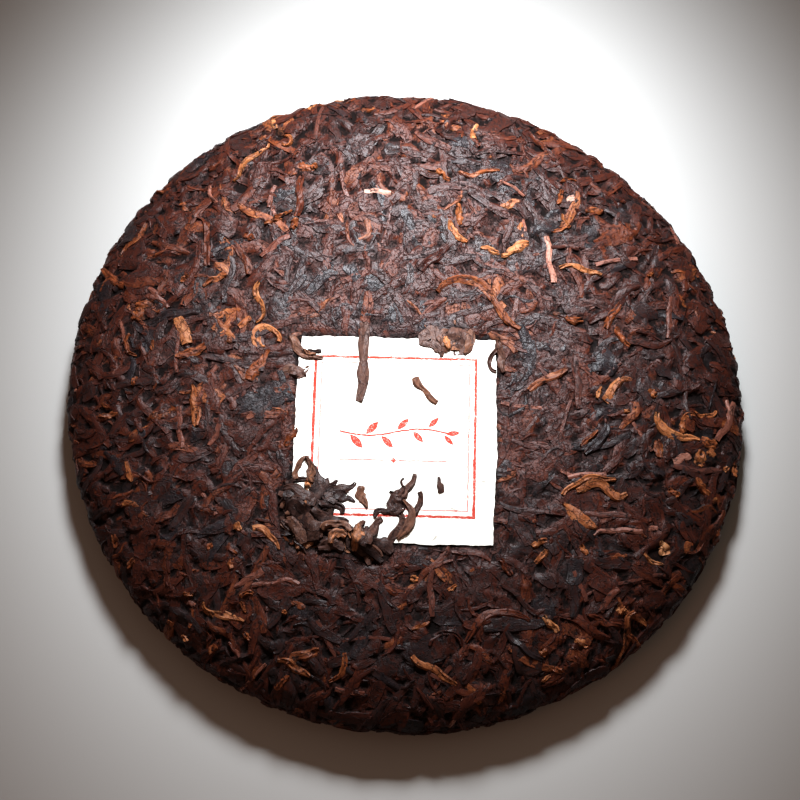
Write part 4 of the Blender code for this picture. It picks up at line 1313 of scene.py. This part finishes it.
# %% Strand, twig, fragment and sprig
STRAND_WIDTHS = (3.7, 3.4, 3.2, 3.3, 4.1, 3.7, 2.9)
lay_across("long_strand", "ticket_strand", (
    (BAND, ((-12.1, 18.0), (-11.4, 10.9), (-11.5, 4.6), (-12.0, -0.5), (-12.5, -6.9)), STRAND_WIDTHS, 0.48),
))
lay_across("twig", "ticket_twig", (
    (BAND, ((3.1, 0.4), (4.7, -2.1), (7.0, -4.8), (9.5, -7.4)), (3.2, 2.5, 1.8, 1.8, 2.4), 0.7),
))
lay_across("fragment", "ticket_fragment", (
    (BAND, ((9.8, -30.0), (10.3, -32.1), (10.6, -34.8)), (1.1, 2.1, 2.5), 0.35),
))
lay_across("sprig", "ticket_sprig", (
    (BAND, ((-3.0, -39.8), (-0.7, -42.2), (-1.3, -45.4), (-3.6, -48.3), (-4.7, -51.7)),
     (2.8, 2.2, 2.3, 2.7, 2.6), 0.36),
    (BAND, ((4.6, -34.5), (4.6, -37.5), (3.5, -40.4), (1.5, -42.2)), (2.2, 1.9, 2.0, 2.2), 0.34),
    (BAND, ((-0.2, -36.9), (1.2, -39.2), (2.1, -42.2), (1.0, -45.4), (-1.9, -48.0)),
     (1.4, 2.3, 2.8, 2.6, 2.2), 0.62),
    (BAND, ((-2.2, -39.2), (-5.0, -40.1), (-7.5, -40.4), (-8.4, -42.1)), (3.0, 2.1, 1.9, 1.6), 0.15),
    (BAND, ((-2.2, -36.9), (0.1, -35.1), (2.1, -32.1), (3.2, -29.2)), (2.8, 2.6, 2.3, 1.9), 0.5),
    (SHEET, ((-2.2, -35.7), (-2.2, -38.4), (-0.7, -40.7)), (4.0, 5.1, 4.2), 0.24),
    (SHEET, ((-4.1, -34.5), (-2.2, -35.1), (0.1, -33.3)), (1.1, 2.8, 2.1), 0.3),
    (THREAD, ((0.4, -33.0), (-0.7, -31.8), (-0.5, -30.9), (0.1, -30.4)), 0.9, 0.25),
))

# %% [markdown]
# The heap at the near corner and the clump at the far edge are thick. Small bits are scattered along a few
# lines first, and the leaves that can be told apart lie over them.

# %% The heap at the near corner
CORNER_BITS = 130
CORNER_LINES = (
    ((-33.7, -35.2), (-29.9, -37.7), (-25.2, -40.7)),
    ((-32.7, -39.0), (-27.0, -41.4), (-20.8, -43.6)),
    ((-32.7, -43.6), (-25.9, -44.3), (-17.4, -46.6)),
    ((-30.3, -49.5), (-21.9, -49.0), (-14.5, -49.1)),
    ((-12.9, -46.6), (-12.0, -48.5), (-9.9, -50.9)),
)
CORNER = (
    (SHEET, ((-32.2, -38.1), (-29.3, -41.1), (-26.4, -44.9)), (5.1, 5.8, 4.9), 0.12),
    (SHEET, ((-28.6, -48.3), (-25.8, -46.4), (-21.9, -45.5)), (4.4, 5.1, 4.0), 0.35),
    (BAND, ((-33.2, -43.0), (-30.1, -45.4), (-28.1, -49.8)), (3.3, 3.7, 3.3), 0.55),
    (BAND, ((-24.1, -50.7), (-20.7, -49.9), (-16.8, -51.4)), (3.3, 3.5, 3.0), 0.3),
    (BAND, ((-33.4, -32.2), (-30.6, -30.7), (-27.7, -30.8)), (2.3, 2.0, 1.8), 0.25),
    (BAND, ((-30.6, -30.7), (-30.4, -27.4), (-29.0, -24.8), (-27.0, -23.9)), (2.0, 1.8, 1.9, 1.6), 0.72),
    (BAND, ((-27.8, -23.9), (-26.7, -25.4), (-26.4, -28.1), (-26.9, -31.4)), (1.4, 2.2, 2.6, 2.8), 0.6),
    (SHEET, ((-27.7, -31.4), (-26.9, -33.2), (-26.5, -35.2)), (1.9, 2.8, 1.9), 1.0),
    (BAND, ((-34.0, -33.3), (-30.3, -34.0), (-26.8, -36.7), (-23.1, -39.4)), (2.8, 3.5, 4.2, 4.0), 0.22),
    (SHEET, ((-25.2, -26.6), (-24.3, -29.9), (-24.0, -33.2), (-25.1, -36.4), (-26.5, -39.1)),
     (1.6, 4.0, 4.9, 4.0, 3.5), 0.24),
    (BAND, ((-25.8, -26.6), (-26.1, -29.0), (-26.0, -31.7)), (1.4, 2.2, 1.9), 0.8),
    (BAND, ((-23.7, -38.8), (-20.6, -38.0), (-18.0, -38.9), (-17.4, -40.9)), (3.5, 2.6, 2.3, 1.8), 0.12),
    (BAND, ((-25.9, -40.5), (-21.9, -42.3), (-18.5, -42.7), (-15.7, -43.6)), (4.0, 3.5, 2.3, 1.6), 0.25),
    (SHEET, ((-22.8, -36.8), (-20.6, -34.1), (-18.9, -30.9)), (4.9, 4.9, 1.6), 0.1),
    (SHEET, ((-22.3, -36.2), (-19.2, -34.7), (-16.1, -33.6), (-13.5, -31.8)), (4.7, 4.4, 3.0, 1.6), 0.2),
    (SHEET, ((-20.0, -35.0), (-16.9, -35.9), (-13.8, -37.4)), (4.2, 2.8, 1.1), 0.1),
    (BAND, ((-12.1, -32.7), (-12.1, -35.4), (-11.2, -37.4), (-10.4, -39.2)), (2.6, 3.4, 2.7, 1.2), 0.76),
    (BAND, ((-20.7, -49.9), (-18.5, -46.7), (-16.2, -47.9)), (2.6, 3.0, 2.6), 0.9),
    (BAND, ((-23.0, -46.1), (-20.2, -44.1), (-17.1, -44.4), (-14.6, -46.2)), (2.1, 2.6, 2.3, 2.1), 0.7),
    (BAND, ((-11.2, -43.0), (-12.3, -44.8), (-14.0, -46.5)), (1.4, 2.3, 2.6), 0.6),
    (BAND, ((-13.2, -44.5), (-13.1, -47.9), (-14.0, -52.0)), (2.1, 2.8, 2.3), 0.92),
    (BAND, ((-10.6, -44.8), (-10.3, -48.0), (-11.7, -51.1)), (1.9, 3.0, 3.0), 0.2),
    (BAND, ((-8.9, -49.4), (-6.1, -49.7), (-3.3, -52.3)), (3.0, 4.0, 3.5), 0.18),
    (BAND, ((-6.1, -42.4), (-8.1, -44.8), (-9.2, -47.4), (-10.0, -50.6)), (2.8, 2.8, 2.6, 2.8), 0.4),
)
corner_bits = scattered(CORNER_LINES, CORNER_BITS, (STRAND, FLAKE, FLAKE, THREAD, CRUMB))
lay_across("corner_leaves", "ticket_corner_leaves", CORNER, corner_bits)

# %% The clump at the far edge
FAR_BITS = 20
FAR_LINES = (
    ((5.9, 14.7), (8.3, 12.8), (10.4, 10.4)),
    ((14.1, 14.8), (15.8, 12.6), (16.1, 10.4)),
    ((17.0, 14.8), (18.2, 12.9), (18.0, 11.2)),
)
FAR = (
    (SHEET, ((5.9, 15.7), (8.0, 12.8), (10.0, 10.0), (10.8, 7.1)), (6.6, 7.3, 4.4, 1.4), 0.5),
    (SHEET, ((12.6, 15.7), (12.0, 12.2), (11.7, 8.4)), (4.0, 4.9, 2.6), 0.58),
    (SHEET, ((15.9, 16.4), (15.8, 12.2), (16.1, 7.5)), (7.5, 8.9, 5.4), 0.45),
    (SHEET, ((18.8, 15.4), (19.3, 12.9), (19.0, 10.3), (17.5, 8.1)), (3.5, 3.0, 2.8, 2.3), 0.72),
    (BAND, ((12.1, 13.2), (12.5, 11.3), (13.2, 9.2)), (1.6, 2.2, 1.6), 1.0),
)
lay_across("far_clump", "ticket_top_leaves", FAR, scattered(FAR_LINES, FAR_BITS, (FLAKE, CRUMB)))

# %% [markdown]
# Three small curls reach in over the sides of the paper.

# %% Curls at the sides
lay_across("side_curl", "ticket_side_leaf", (
    (BAND, ((27.7, 12.0), (26.2, 8.2), (25.0, 5.3), (25.3, 2.8), (26.7, 2.2)),
     (2.6, 1.8, 1.5, 1.4, 1.5), 0.4),
    (BAND, ((27.7, 11.4), (28.2, 7.0), (28.7, 2.2)), (3.0, 2.6, 2.1), 0.5),
))
lay_across("corner_curl", "ticket_corner_curl", (
    (BAND, ((-27.8, 9.2), (-26.0, 8.8), (-23.8, 8.8)), 1.3, 0.1),
    (BAND, ((-32.5, 14.0), (-30.7, 9.8), (-28.0, 7.6), (-23.4, 6.9)), (3.0, 3.2, 2.6, 1.5), 0.66),
    (BAND, ((-28.9, 9.5), (-27.2, 7.9), (-25.4, 7.9)), (1.2, 1.6, 1.2), 0.82),
))
lay_across("tab", "ticket_tab", (
    (SHEET, ((-34.6, 2.3), (-31.4, 2.9), (-28.8, 2.9), (-27.4, 4.1)), (3.3, 4.2, 3.7, 1.4), 0.55),
    (SHEET, ((-32.9, 2.6), (-30.0, 1.9), (-28.2, 1.0)), (3.3, 3.0, 1.6), 0.48),
))

# %% [markdown]
# ## Making the pieces
# With every leaf in its place, the levels are measured once more and the meshes are made: one piece for
# each kind on each side, and one for each solid across the ticket.

# %% All leaf pieces
find_level(face_top)
pieces = {}
for name, rows in face_batches.items():
    pieces[name] = leaf_piece(name, rows, FACE, face_top)
for name, rows in base_batches.items():
    pieces[name] = leaf_piece(name, rows, BASE, base_top)
crossing = [leaf_piece(name, rows, FACE, face_top, [node]) for name, node, rows in CROSSING]
print("pieces:", len(pieces) + len(crossing) + 2)

# %% [markdown]
# ## Writing finishes
# A finish is a tree of nodes. It could be wired by hand, but its maths reads best as plain expressions. The
# class below wraps one output of a node. Adding or multiplying such values adds the Math nodes.

# %% Values of nodes
class Value:
    """One output of a node, with arithmetic that adds Math nodes."""

    def __init__(self, finish, socket):
        self.finish = finish
        self.socket = socket

    def maths(self, operation, *others):
        """A Math node on this value and the others."""
        sockets = dict(enumerate((self, *others)))
        return self.finish.node("ShaderNodeMath", {"operation": operation}, sockets)

    def __add__(self, other):
        if isinstance(other, tuple) or self.socket.type == "VECTOR":
            return self.finish.node("ShaderNodeVectorMath", {"operation": "ADD"}, {0: self, 1: other})
        return self.maths("ADD", other)

    def __sub__(self, other):
        return self.maths("SUBTRACT", other)

    def __rsub__(self, other):
        return self.finish.node("ShaderNodeMath", {"operation": "SUBTRACT"}, {0: other, 1: self})

    def __mul__(self, other):
        return self.maths("MULTIPLY", other)

    def __truediv__(self, other):
        return self.maths("DIVIDE", other)

    def __abs__(self):
        return self.maths("ABSOLUTE")

    __radd__ = __add__
    __rmul__ = __mul__

    def step(self, low, high):
        """0 below low, 1 above high, smooth between."""
        sockets = {"Value": self, "From Min": low, "From Max": high}
        return self.finish.node("ShaderNodeMapRange", {"interpolation_type": "SMOOTHSTEP"}, sockets)

    def most(self, other):
        """The larger of this value and the other."""
        return self.maths("MAXIMUM", other)

    def scaled(self, *sizes):
        """This vector times three numbers."""
        return self.finish.node("ShaderNodeVectorMath", {"operation": "MULTIPLY"}, {0: self, 1: sizes})

    def part(self, axis):
        """One part of this vector."""
        return self.finish.node("ShaderNodeSeparateXYZ", {}, {"Vector": self}, axis)


print("values can be added, subtracted, multiplied and divided")

# %% [markdown]
# Any other node comes from one method, which takes the node's type, its settings, and the values or links
# of its sockets. The methods after it are short names for what tea and paper need: noise, thin cracks, a
# ramp of colours, a mix of two, and a bump.

# %% Finishes made of nodes
class Finish:
    """A material whose looks come from nodes."""

    def __init__(self, name):
        self.material = bpy.data.materials.new(name)
        self.material.use_nodes = True
        self.tree = self.material.node_tree
        self.shader = self.tree.nodes["Principled BSDF"]

    def feed(self, socket, value):
        """Links a value into a socket, or sets the socket's own number or colour."""
        if isinstance(value, Value):
            self.tree.links.new(value.socket, socket)
        else:
            socket.default_value = value

    def node(self, kind, settings, sockets, output=0):
        """A node of this type with its settings and sockets, as the value of one output."""
        made = self.tree.nodes.new(kind)
        for title, setting in settings.items():
            if title == "stops":
                self.stops(made.color_ramp, setting)
            else:
                setattr(made, title, setting)
        for title, value in sockets.items():
            self.feed(made.inputs[title], value)
        return Value(self, made.outputs[output])

    def stops(self, ramp, stops):
        """Sets the places and colours of a ramp."""
        while len(ramp.elements) < len(stops):
            ramp.elements.new(1.0)
        for element, (place, colour) in zip(ramp.elements, stops):
            element.position = place
            element.color = (*colour, 1.0)

    def stored(self, title, output="Fac"):
        """A value that the mesh carries at its points."""
        return self.node("ShaderNodeAttribute", {"attribute_name": title}, {}, output)

    def noise(self, vector, scale, detail=3.0, roughness=0.55):
        """Noise around 0.5 in this vector's space."""
        sockets = {"Vector": vector, "Scale": scale, "Detail": detail, "Roughness": roughness}
        return self.node("ShaderNodeTexNoise", {}, sockets)

    def cracks(self, vector, scale=1.0):
        """1 in thin wandering lines, 0 beside them."""
        return 1 - abs(self.noise(vector, scale, 2.0, 0.5) - 0.5).step(0.004, 0.030)

    def ramp(self, value, stops):
        """A colour for each value from 0 to 1."""
        return self.node("ShaderNodeValToRGB", {"stops": stops}, {"Fac": value})

    def mix(self, share, first, second, blend="MIX"):
        """The first colour, turning into the second as share grows."""
        settings = {"data_type": "RGBA", "blend_type": blend}
        colours = [(*c, 1.0) if isinstance(c, tuple) else c for c in (first, second)]
        return self.node("ShaderNodeMix", settings, {0: share, 6: colours[0], 7: colours[1]}, 2)

    def look(self, **looks):
        """Sets or links the shader's own sockets."""
        for title, value in looks.items():
            self.feed(self.shader.inputs[title.replace("_", " ")], value)

    def bump(self, height, depth):
        """Feeds a height in millimetres, times depth, to the shader's normal."""
        sockets = {"Height": height, "Distance": depth * MM, "Strength": 1.0}
        self.look(Normal=self.node("ShaderNodeBump", {}, sockets))


print("methods of a finish:", ", ".join(name for name in vars(Finish) if not name.startswith("_")))

# %% [markdown]
# ## Tea leaf finishes
# A dry tea leaf is wrinkled along its length and has a soft dull shine where it was pressed, and shade is
# painted nearly black into its creases. One brown for all would look like mud. Its tone runs from black
# brown over red brown to the gold of the tips. So each finish is a ramp of tones. The tone is stored for
# each leaf, and noise along its grain varies it.

# %% Tones of leaf
LEAF_TONES = (
    (0.00, (0.0125, 0.0090, 0.0100)),
    (0.14, (0.0195, 0.0105, 0.0100)),
    (0.27, (0.0245, 0.0082, 0.0064)),
    (0.38, (0.0300, 0.0074, 0.0047)),
    (0.52, (0.0430, 0.0098, 0.0054)),
    (0.68, (0.0680, 0.0160, 0.0067)),
    (0.84, (0.1250, 0.0350, 0.0125)),
    (0.94, (0.2000, 0.0680, 0.0230)),
    (1.00, (0.3000, 0.1180, 0.0430)),
)
STEM_TONES = (
    (0.0, (0.030, 0.0120, 0.0100)),
    (0.3, (0.080, 0.0240, 0.0150)),
    (0.6, (0.170, 0.0650, 0.0430)),
    (1.0, (0.360, 0.2100, 0.1600)),
)
GOLD_TONES = (
    (0.0, (0.050, 0.0120, 0.0045)),
    (0.25, (0.112, 0.0290, 0.0100)),
    (0.55, (0.205, 0.0700, 0.0250)),
    (0.8, (0.295, 0.1280, 0.0560)),
    (1.0, (0.390, 0.2250, 0.1250)),
)
LOOSE_TONES = (
    (0.0, (0.014, 0.0075, 0.0070)),
    (0.2, (0.028, 0.0130, 0.0105)),
    (0.45, (0.068, 0.0310, 0.0220)),
    (0.7, (0.125, 0.0540, 0.0310)),
    (0.88, (0.270, 0.1000, 0.0400)),
    (1.0, (0.560, 0.2300, 0.0950)),
)
print("a leaf has", len(LEAF_TONES), "tones")

# %% [markdown]
# Shade is painted into creases, fold lines, leaf edges and the hollows between leaves, and the deeper they
# lie the darker it is. Those places are also rough, because a shiny hollow would sparkle grey. The stored
# number of each leaf tints it a little, so that neighbours differ.

# %% Leaf finishes
# Colour of the shade painted into creases, fold lines, leaf edges and the hollows between leaves.
PAINTED_SHADE_COLOUR = (0.0024, 0.0007, 0.0005)
COOL = (0.98, 1.08, 1.16)
DARKEST = 0.97
LEAF_IOR = 1.21
LEAF_BUMP = 0.17


def leaf_finish(name, tones, shine, ridges, along, spread=1.0, shade=1.0):
    """Wrinkled dry leaf in a range of tones, with fibres this much longer than they are wide."""
    leaf = Finish(name)
    grain = leaf.stored("grain", "Vector")
    tone = leaf.stored("tone")
    depth = leaf.stored("depth")
    edge = leaf.stored("edge")
    fibres = leaf.noise(grain.scaled(1.5 / along, 1.5, 1.0), 1.0, 4.0, 0.6)
    creases = leaf.noise(grain.scaled(0.6, 0.8, 1.0), 1.0, 4.0, 0.65)
    dust = leaf.noise(grain, 2.2, 3.0, 0.7)
    folds = leaf.cracks(grain.scaled(0.9 / along, 0.45, 1.0))
    mottled = tone * 0.75 + (fibres - 0.5) * (0.5 * spread) + (creases - 0.5) * (0.5 * spread) + 0.06
    colour = leaf.ramp(mottled + (dust - 0.5) * 0.42, tones)
    # Masks of painted shade: creases, fold lines, leaf edges, and hollows that lie below their neighbours.
    crease_shade = 1 - creases.step(0.36, 0.44)
    rim = (edge + (dust - 0.5) * 0.3).step(0.80, 1.0)
    buried = 1 - (depth + (dust - 0.5) * 0.5).step(-0.58, -0.02)
    painted_shade = ((crease_shade * 0.5 + folds * 0.65 + rim * 0.5 + buried * 0.98) * shade).maths("MINIMUM", DARKEST)
    colour = leaf.mix(grain.part("Z") / NUMBER_SPREAD, colour, COOL, "MULTIPLY")
    # Paints the shade into the leaf's colour.
    colour = leaf.mix(painted_shade, colour, PAINTED_SHADE_COLOUR)
    roughness = shine + mottled * 0.16 + dust * 0.10 + painted_shade * 0.50
    leaf.look(Base_Color=colour, Roughness=roughness, IOR=LEAF_IOR)
    leaf.bump(fibres * ridges + creases * 1.4 + dust * 0.3 - folds * 0.4, LEAF_BUMP)
    return leaf.material


FINISHES = {
    "strands": leaf_finish("twisted_leaf", LEAF_TONES, 0.25, 0.8, 4.0),
    "threads": leaf_finish("thin_leaf", LEAF_TONES, 0.27, 0.8, 4.0),
    "flakes": leaf_finish("flat_leaf", LEAF_TONES, 0.25, 0.4, 1.6),
    "stems": leaf_finish("stem", STEM_TONES, 0.25, 0.5, 5.0, 0.8),
    "golden_tips": leaf_finish("golden_tip", GOLD_TONES, 0.30, 0.6, 3.0, 1.5),
    "crumbs": leaf_finish("crumb", LEAF_TONES, 0.26, 0.4, 1.5),
}
for name, piece in pieces.items():
    piece.data.materials.append(FINISHES[name.removeprefix("base_")])
core.data.materials.append(leaf_finish("core_leaf", LEAF_TONES, 0.29, 0.3, 1.2))
crossing_finish = leaf_finish("leaf_on_paper", LOOSE_TONES, 0.29, 0.8, 3.5, 0.8, 0.6)
for piece in crossing:
    piece.data.materials.append(crossing_finish)
print("finishes:", sorted(FINISHES))

# %% [markdown]
# ## The ticket's finish
# The paper is soft and off-white, with short dark fibres left from its making and a few faint tea stains. A
# red border is printed on it: a strong line and a hairline inside it. In the middle stands a plain sprig
# over a thin rule. A picture could hold all this, but a print drawn from the place on the sheet, in
# millimetres, is as sharp from any distance. The mesh carries those places. First come the marks that a
# print is made of.

# %% Marks of a print
def box_distance(across, down, size):
    """Distance outside a rectangle of this size, less than 0 inside it."""
    return (abs(across) - size[0] / 2).most(abs(down) - size[1] / 2)


def line_mark(distance, width):
    """1 on a printed line of this width, 0 beside it."""
    return 1 - (abs(distance) - width * 0.5).step(-0.05, 0.10)


def leaf_mark(across, down, middle, heading, length, width):
    """1 on a pointed leaf shape about a middle, 0 beside it."""
    cosine, sine = math.cos(heading), math.sin(heading)
    x, y = across - middle[0], down - middle[1]
    along, aside = x * cosine + y * sine, y * cosine - x * sine
    swell = 1 - along * along * (4 / length**2)
    return (swell * (width / 2) - abs(aside)).step(0.0, 0.14)


def within(across, reach):
    """1 up to this far from the middle, 0 past it."""
    return abs(across).step(reach + 0.2, reach)


print("a print is made of lines, leaves and a border")

# %% [markdown]
# Blocks for such tickets are cut by hand, so the lines waver and swell. The sprig's stem is one long wave,
# and its leaves stand to both sides in turn, each a little smaller than the last.

# %% Border and sprig
BORDER_MIDDLE = (-0.4, 0.8)
BORDER_SIZE = (46.4, 48.2)
BORDER_LINE = 0.74
HAIRLINE_INSET = 1.8
HAIRLINE, HAIRLINE_INK = 0.40, 0.75
SPRIG_LENGTH = 15.5
SPRIG_LEAVES = 7
SPRIG_WAVE, SPRIG_RISE = 1.1, 1.0
RULE_DROP, RULE_REACH = 7.6, 15.2


def border_print(across, down, swell):
    """The strong line and the hairline inside it."""
    edge = box_distance(across, down, BORDER_SIZE)
    hairline = line_mark(edge + HAIRLINE_INSET, HAIRLINE + swell * 0.35) * HAIRLINE_INK
    return line_mark(edge, BORDER_LINE + swell).most(hairline)


def sprig_print(across, down, swell):
    """A waving stem with leaves and a bud, over a rule with a diamond in it."""
    stem = down + (across * (math.pi / SPRIG_LENGTH)).maths("SINE") * -SPRIG_WAVE - SPRIG_RISE
    marks = [line_mark(stem, 0.45 + swell * 0.4) * within(across, SPRIG_LENGTH)]
    for number in range(SPRIG_LEAVES):
        place = -12.0 + 4.4 * number
        side = 1 if number % 2 else -1
        height = SPRIG_RISE + SPRIG_WAVE * math.sin(math.pi * place / SPRIG_LENGTH) + side * 2.3
        size = (5.6 - 0.25 * number, 2.3 - 0.12 * number)
        marks.append(leaf_mark(across, down, (place + 1.3, height), side * math.radians(48), *size))
    marks.append(leaf_mark(across, down, (SPRIG_LENGTH + 1.4, 1.1), math.radians(8), 4.2, 1.7))
    rule = line_mark(down + RULE_DROP, 0.22 + swell * 0.3) * within(across, RULE_REACH)
    marks.append(rule * abs(across).step(1.6, 1.8))
    marks.append(1 - (abs(across) + abs(down + RULE_DROP)).step(0.8, 0.95))
    whole = marks[0]
    for mark in marks[1:]:
        whole = whole.most(mark)
    return whole


print("border in mm:", BORDER_SIZE)

# %% [markdown]
# The paper itself comes last. Fine noise makes the ink skip, as it does on rough paper, and the same noise
# gives the paper its tooth.

# %% Paper
INK = (0.290, 0.030, 0.017)
PAPER = (0.620, 0.596, 0.552)
TEA_STAIN = (0.560, 0.470, 0.330)
PULP = (0.60, 0.56, 0.48)
# Grey of the shade painted along the paper's wrinkles.
WRINKLE_SHADE = (0.330, 0.310, 0.270)
FIBRE = (0.120, 0.105, 0.080)
PAPER_BUMP = 0.10


def ticket_finish():
    """Rice paper with a red border and a sprig."""
    paper = Finish("ticket_paper")
    spot = paper.stored("printed", "Vector")
    wander = paper.noise(spot, 0.35, 3.0, 0.6)
    fine = paper.noise(spot, 2.4, 3.0, 0.65)
    slow = paper.noise(spot.scaled(1.0, 1.0, 0.0), 0.31, 3.0, 0.6)
    across = spot.part(0) + (wander - 0.5) * 0.5 - BORDER_MIDDLE[0]
    down = spot.part(1) + (slow - 0.5) * 0.5 - BORDER_MIDDLE[1]
    swell = (wander - 0.5) * 1.1 + (fine - 0.5) * 0.7
    printed = border_print(across, down, swell).most(sprig_print(across, down, swell))
    skips = (fine + wander * 0.4).step(0.52, 0.66) * 0.55 + 0.45
    patches = paper.noise(spot + (31.0, 17.0, 0.0), 0.22, 2.0, 0.5).step(0.60, 0.64)
    fibres = paper.cracks(spot.scaled(0.06, 0.24, 1.0)) * patches
    # Painted shade: thin grey lines where the paper is wrinkled.
    wrinkle_shade = paper.cracks((spot + (11.0, 53.0, 0.0)).scaled(0.05, 0.16, 1.0))
    wrinkle_shade = wrinkle_shade * paper.noise(spot + (13.0, 7.0, 0.0), 0.12, 2.0, 0.5).step(0.45, 0.60)
    stain = paper.noise(spot + (5.0, 71.0, 0.0), 0.07, 3.0, 0.6).step(0.55, 0.80)
    colour = paper.mix(stain * 0.35, PAPER, TEA_STAIN)
    colour = paper.mix((fine - 0.35) * 0.25, colour, PULP)
    # Paints the wrinkles' shade into the paper's colour.
    colour = paper.mix(wrinkle_shade * 0.28, colour, WRINKLE_SHADE)
    colour = paper.mix(fibres * 0.60, colour, FIBRE)
    colour = paper.mix(printed * skips, colour, INK)
    paper.look(Base_Color=colour, Roughness=0.82 + fine * 0.15, IOR=1.35)
    pulp = paper.noise(spot.scaled(1.0, 1.6, 1.0), 1.1, 4.0, 0.65)
    paper.bump(pulp + fine * 0.5, PAPER_BUMP)
    return paper.material


ticket.data.materials.append(ticket_finish())
print("paper:", ticket.data.materials[0].name)

# %% [markdown]
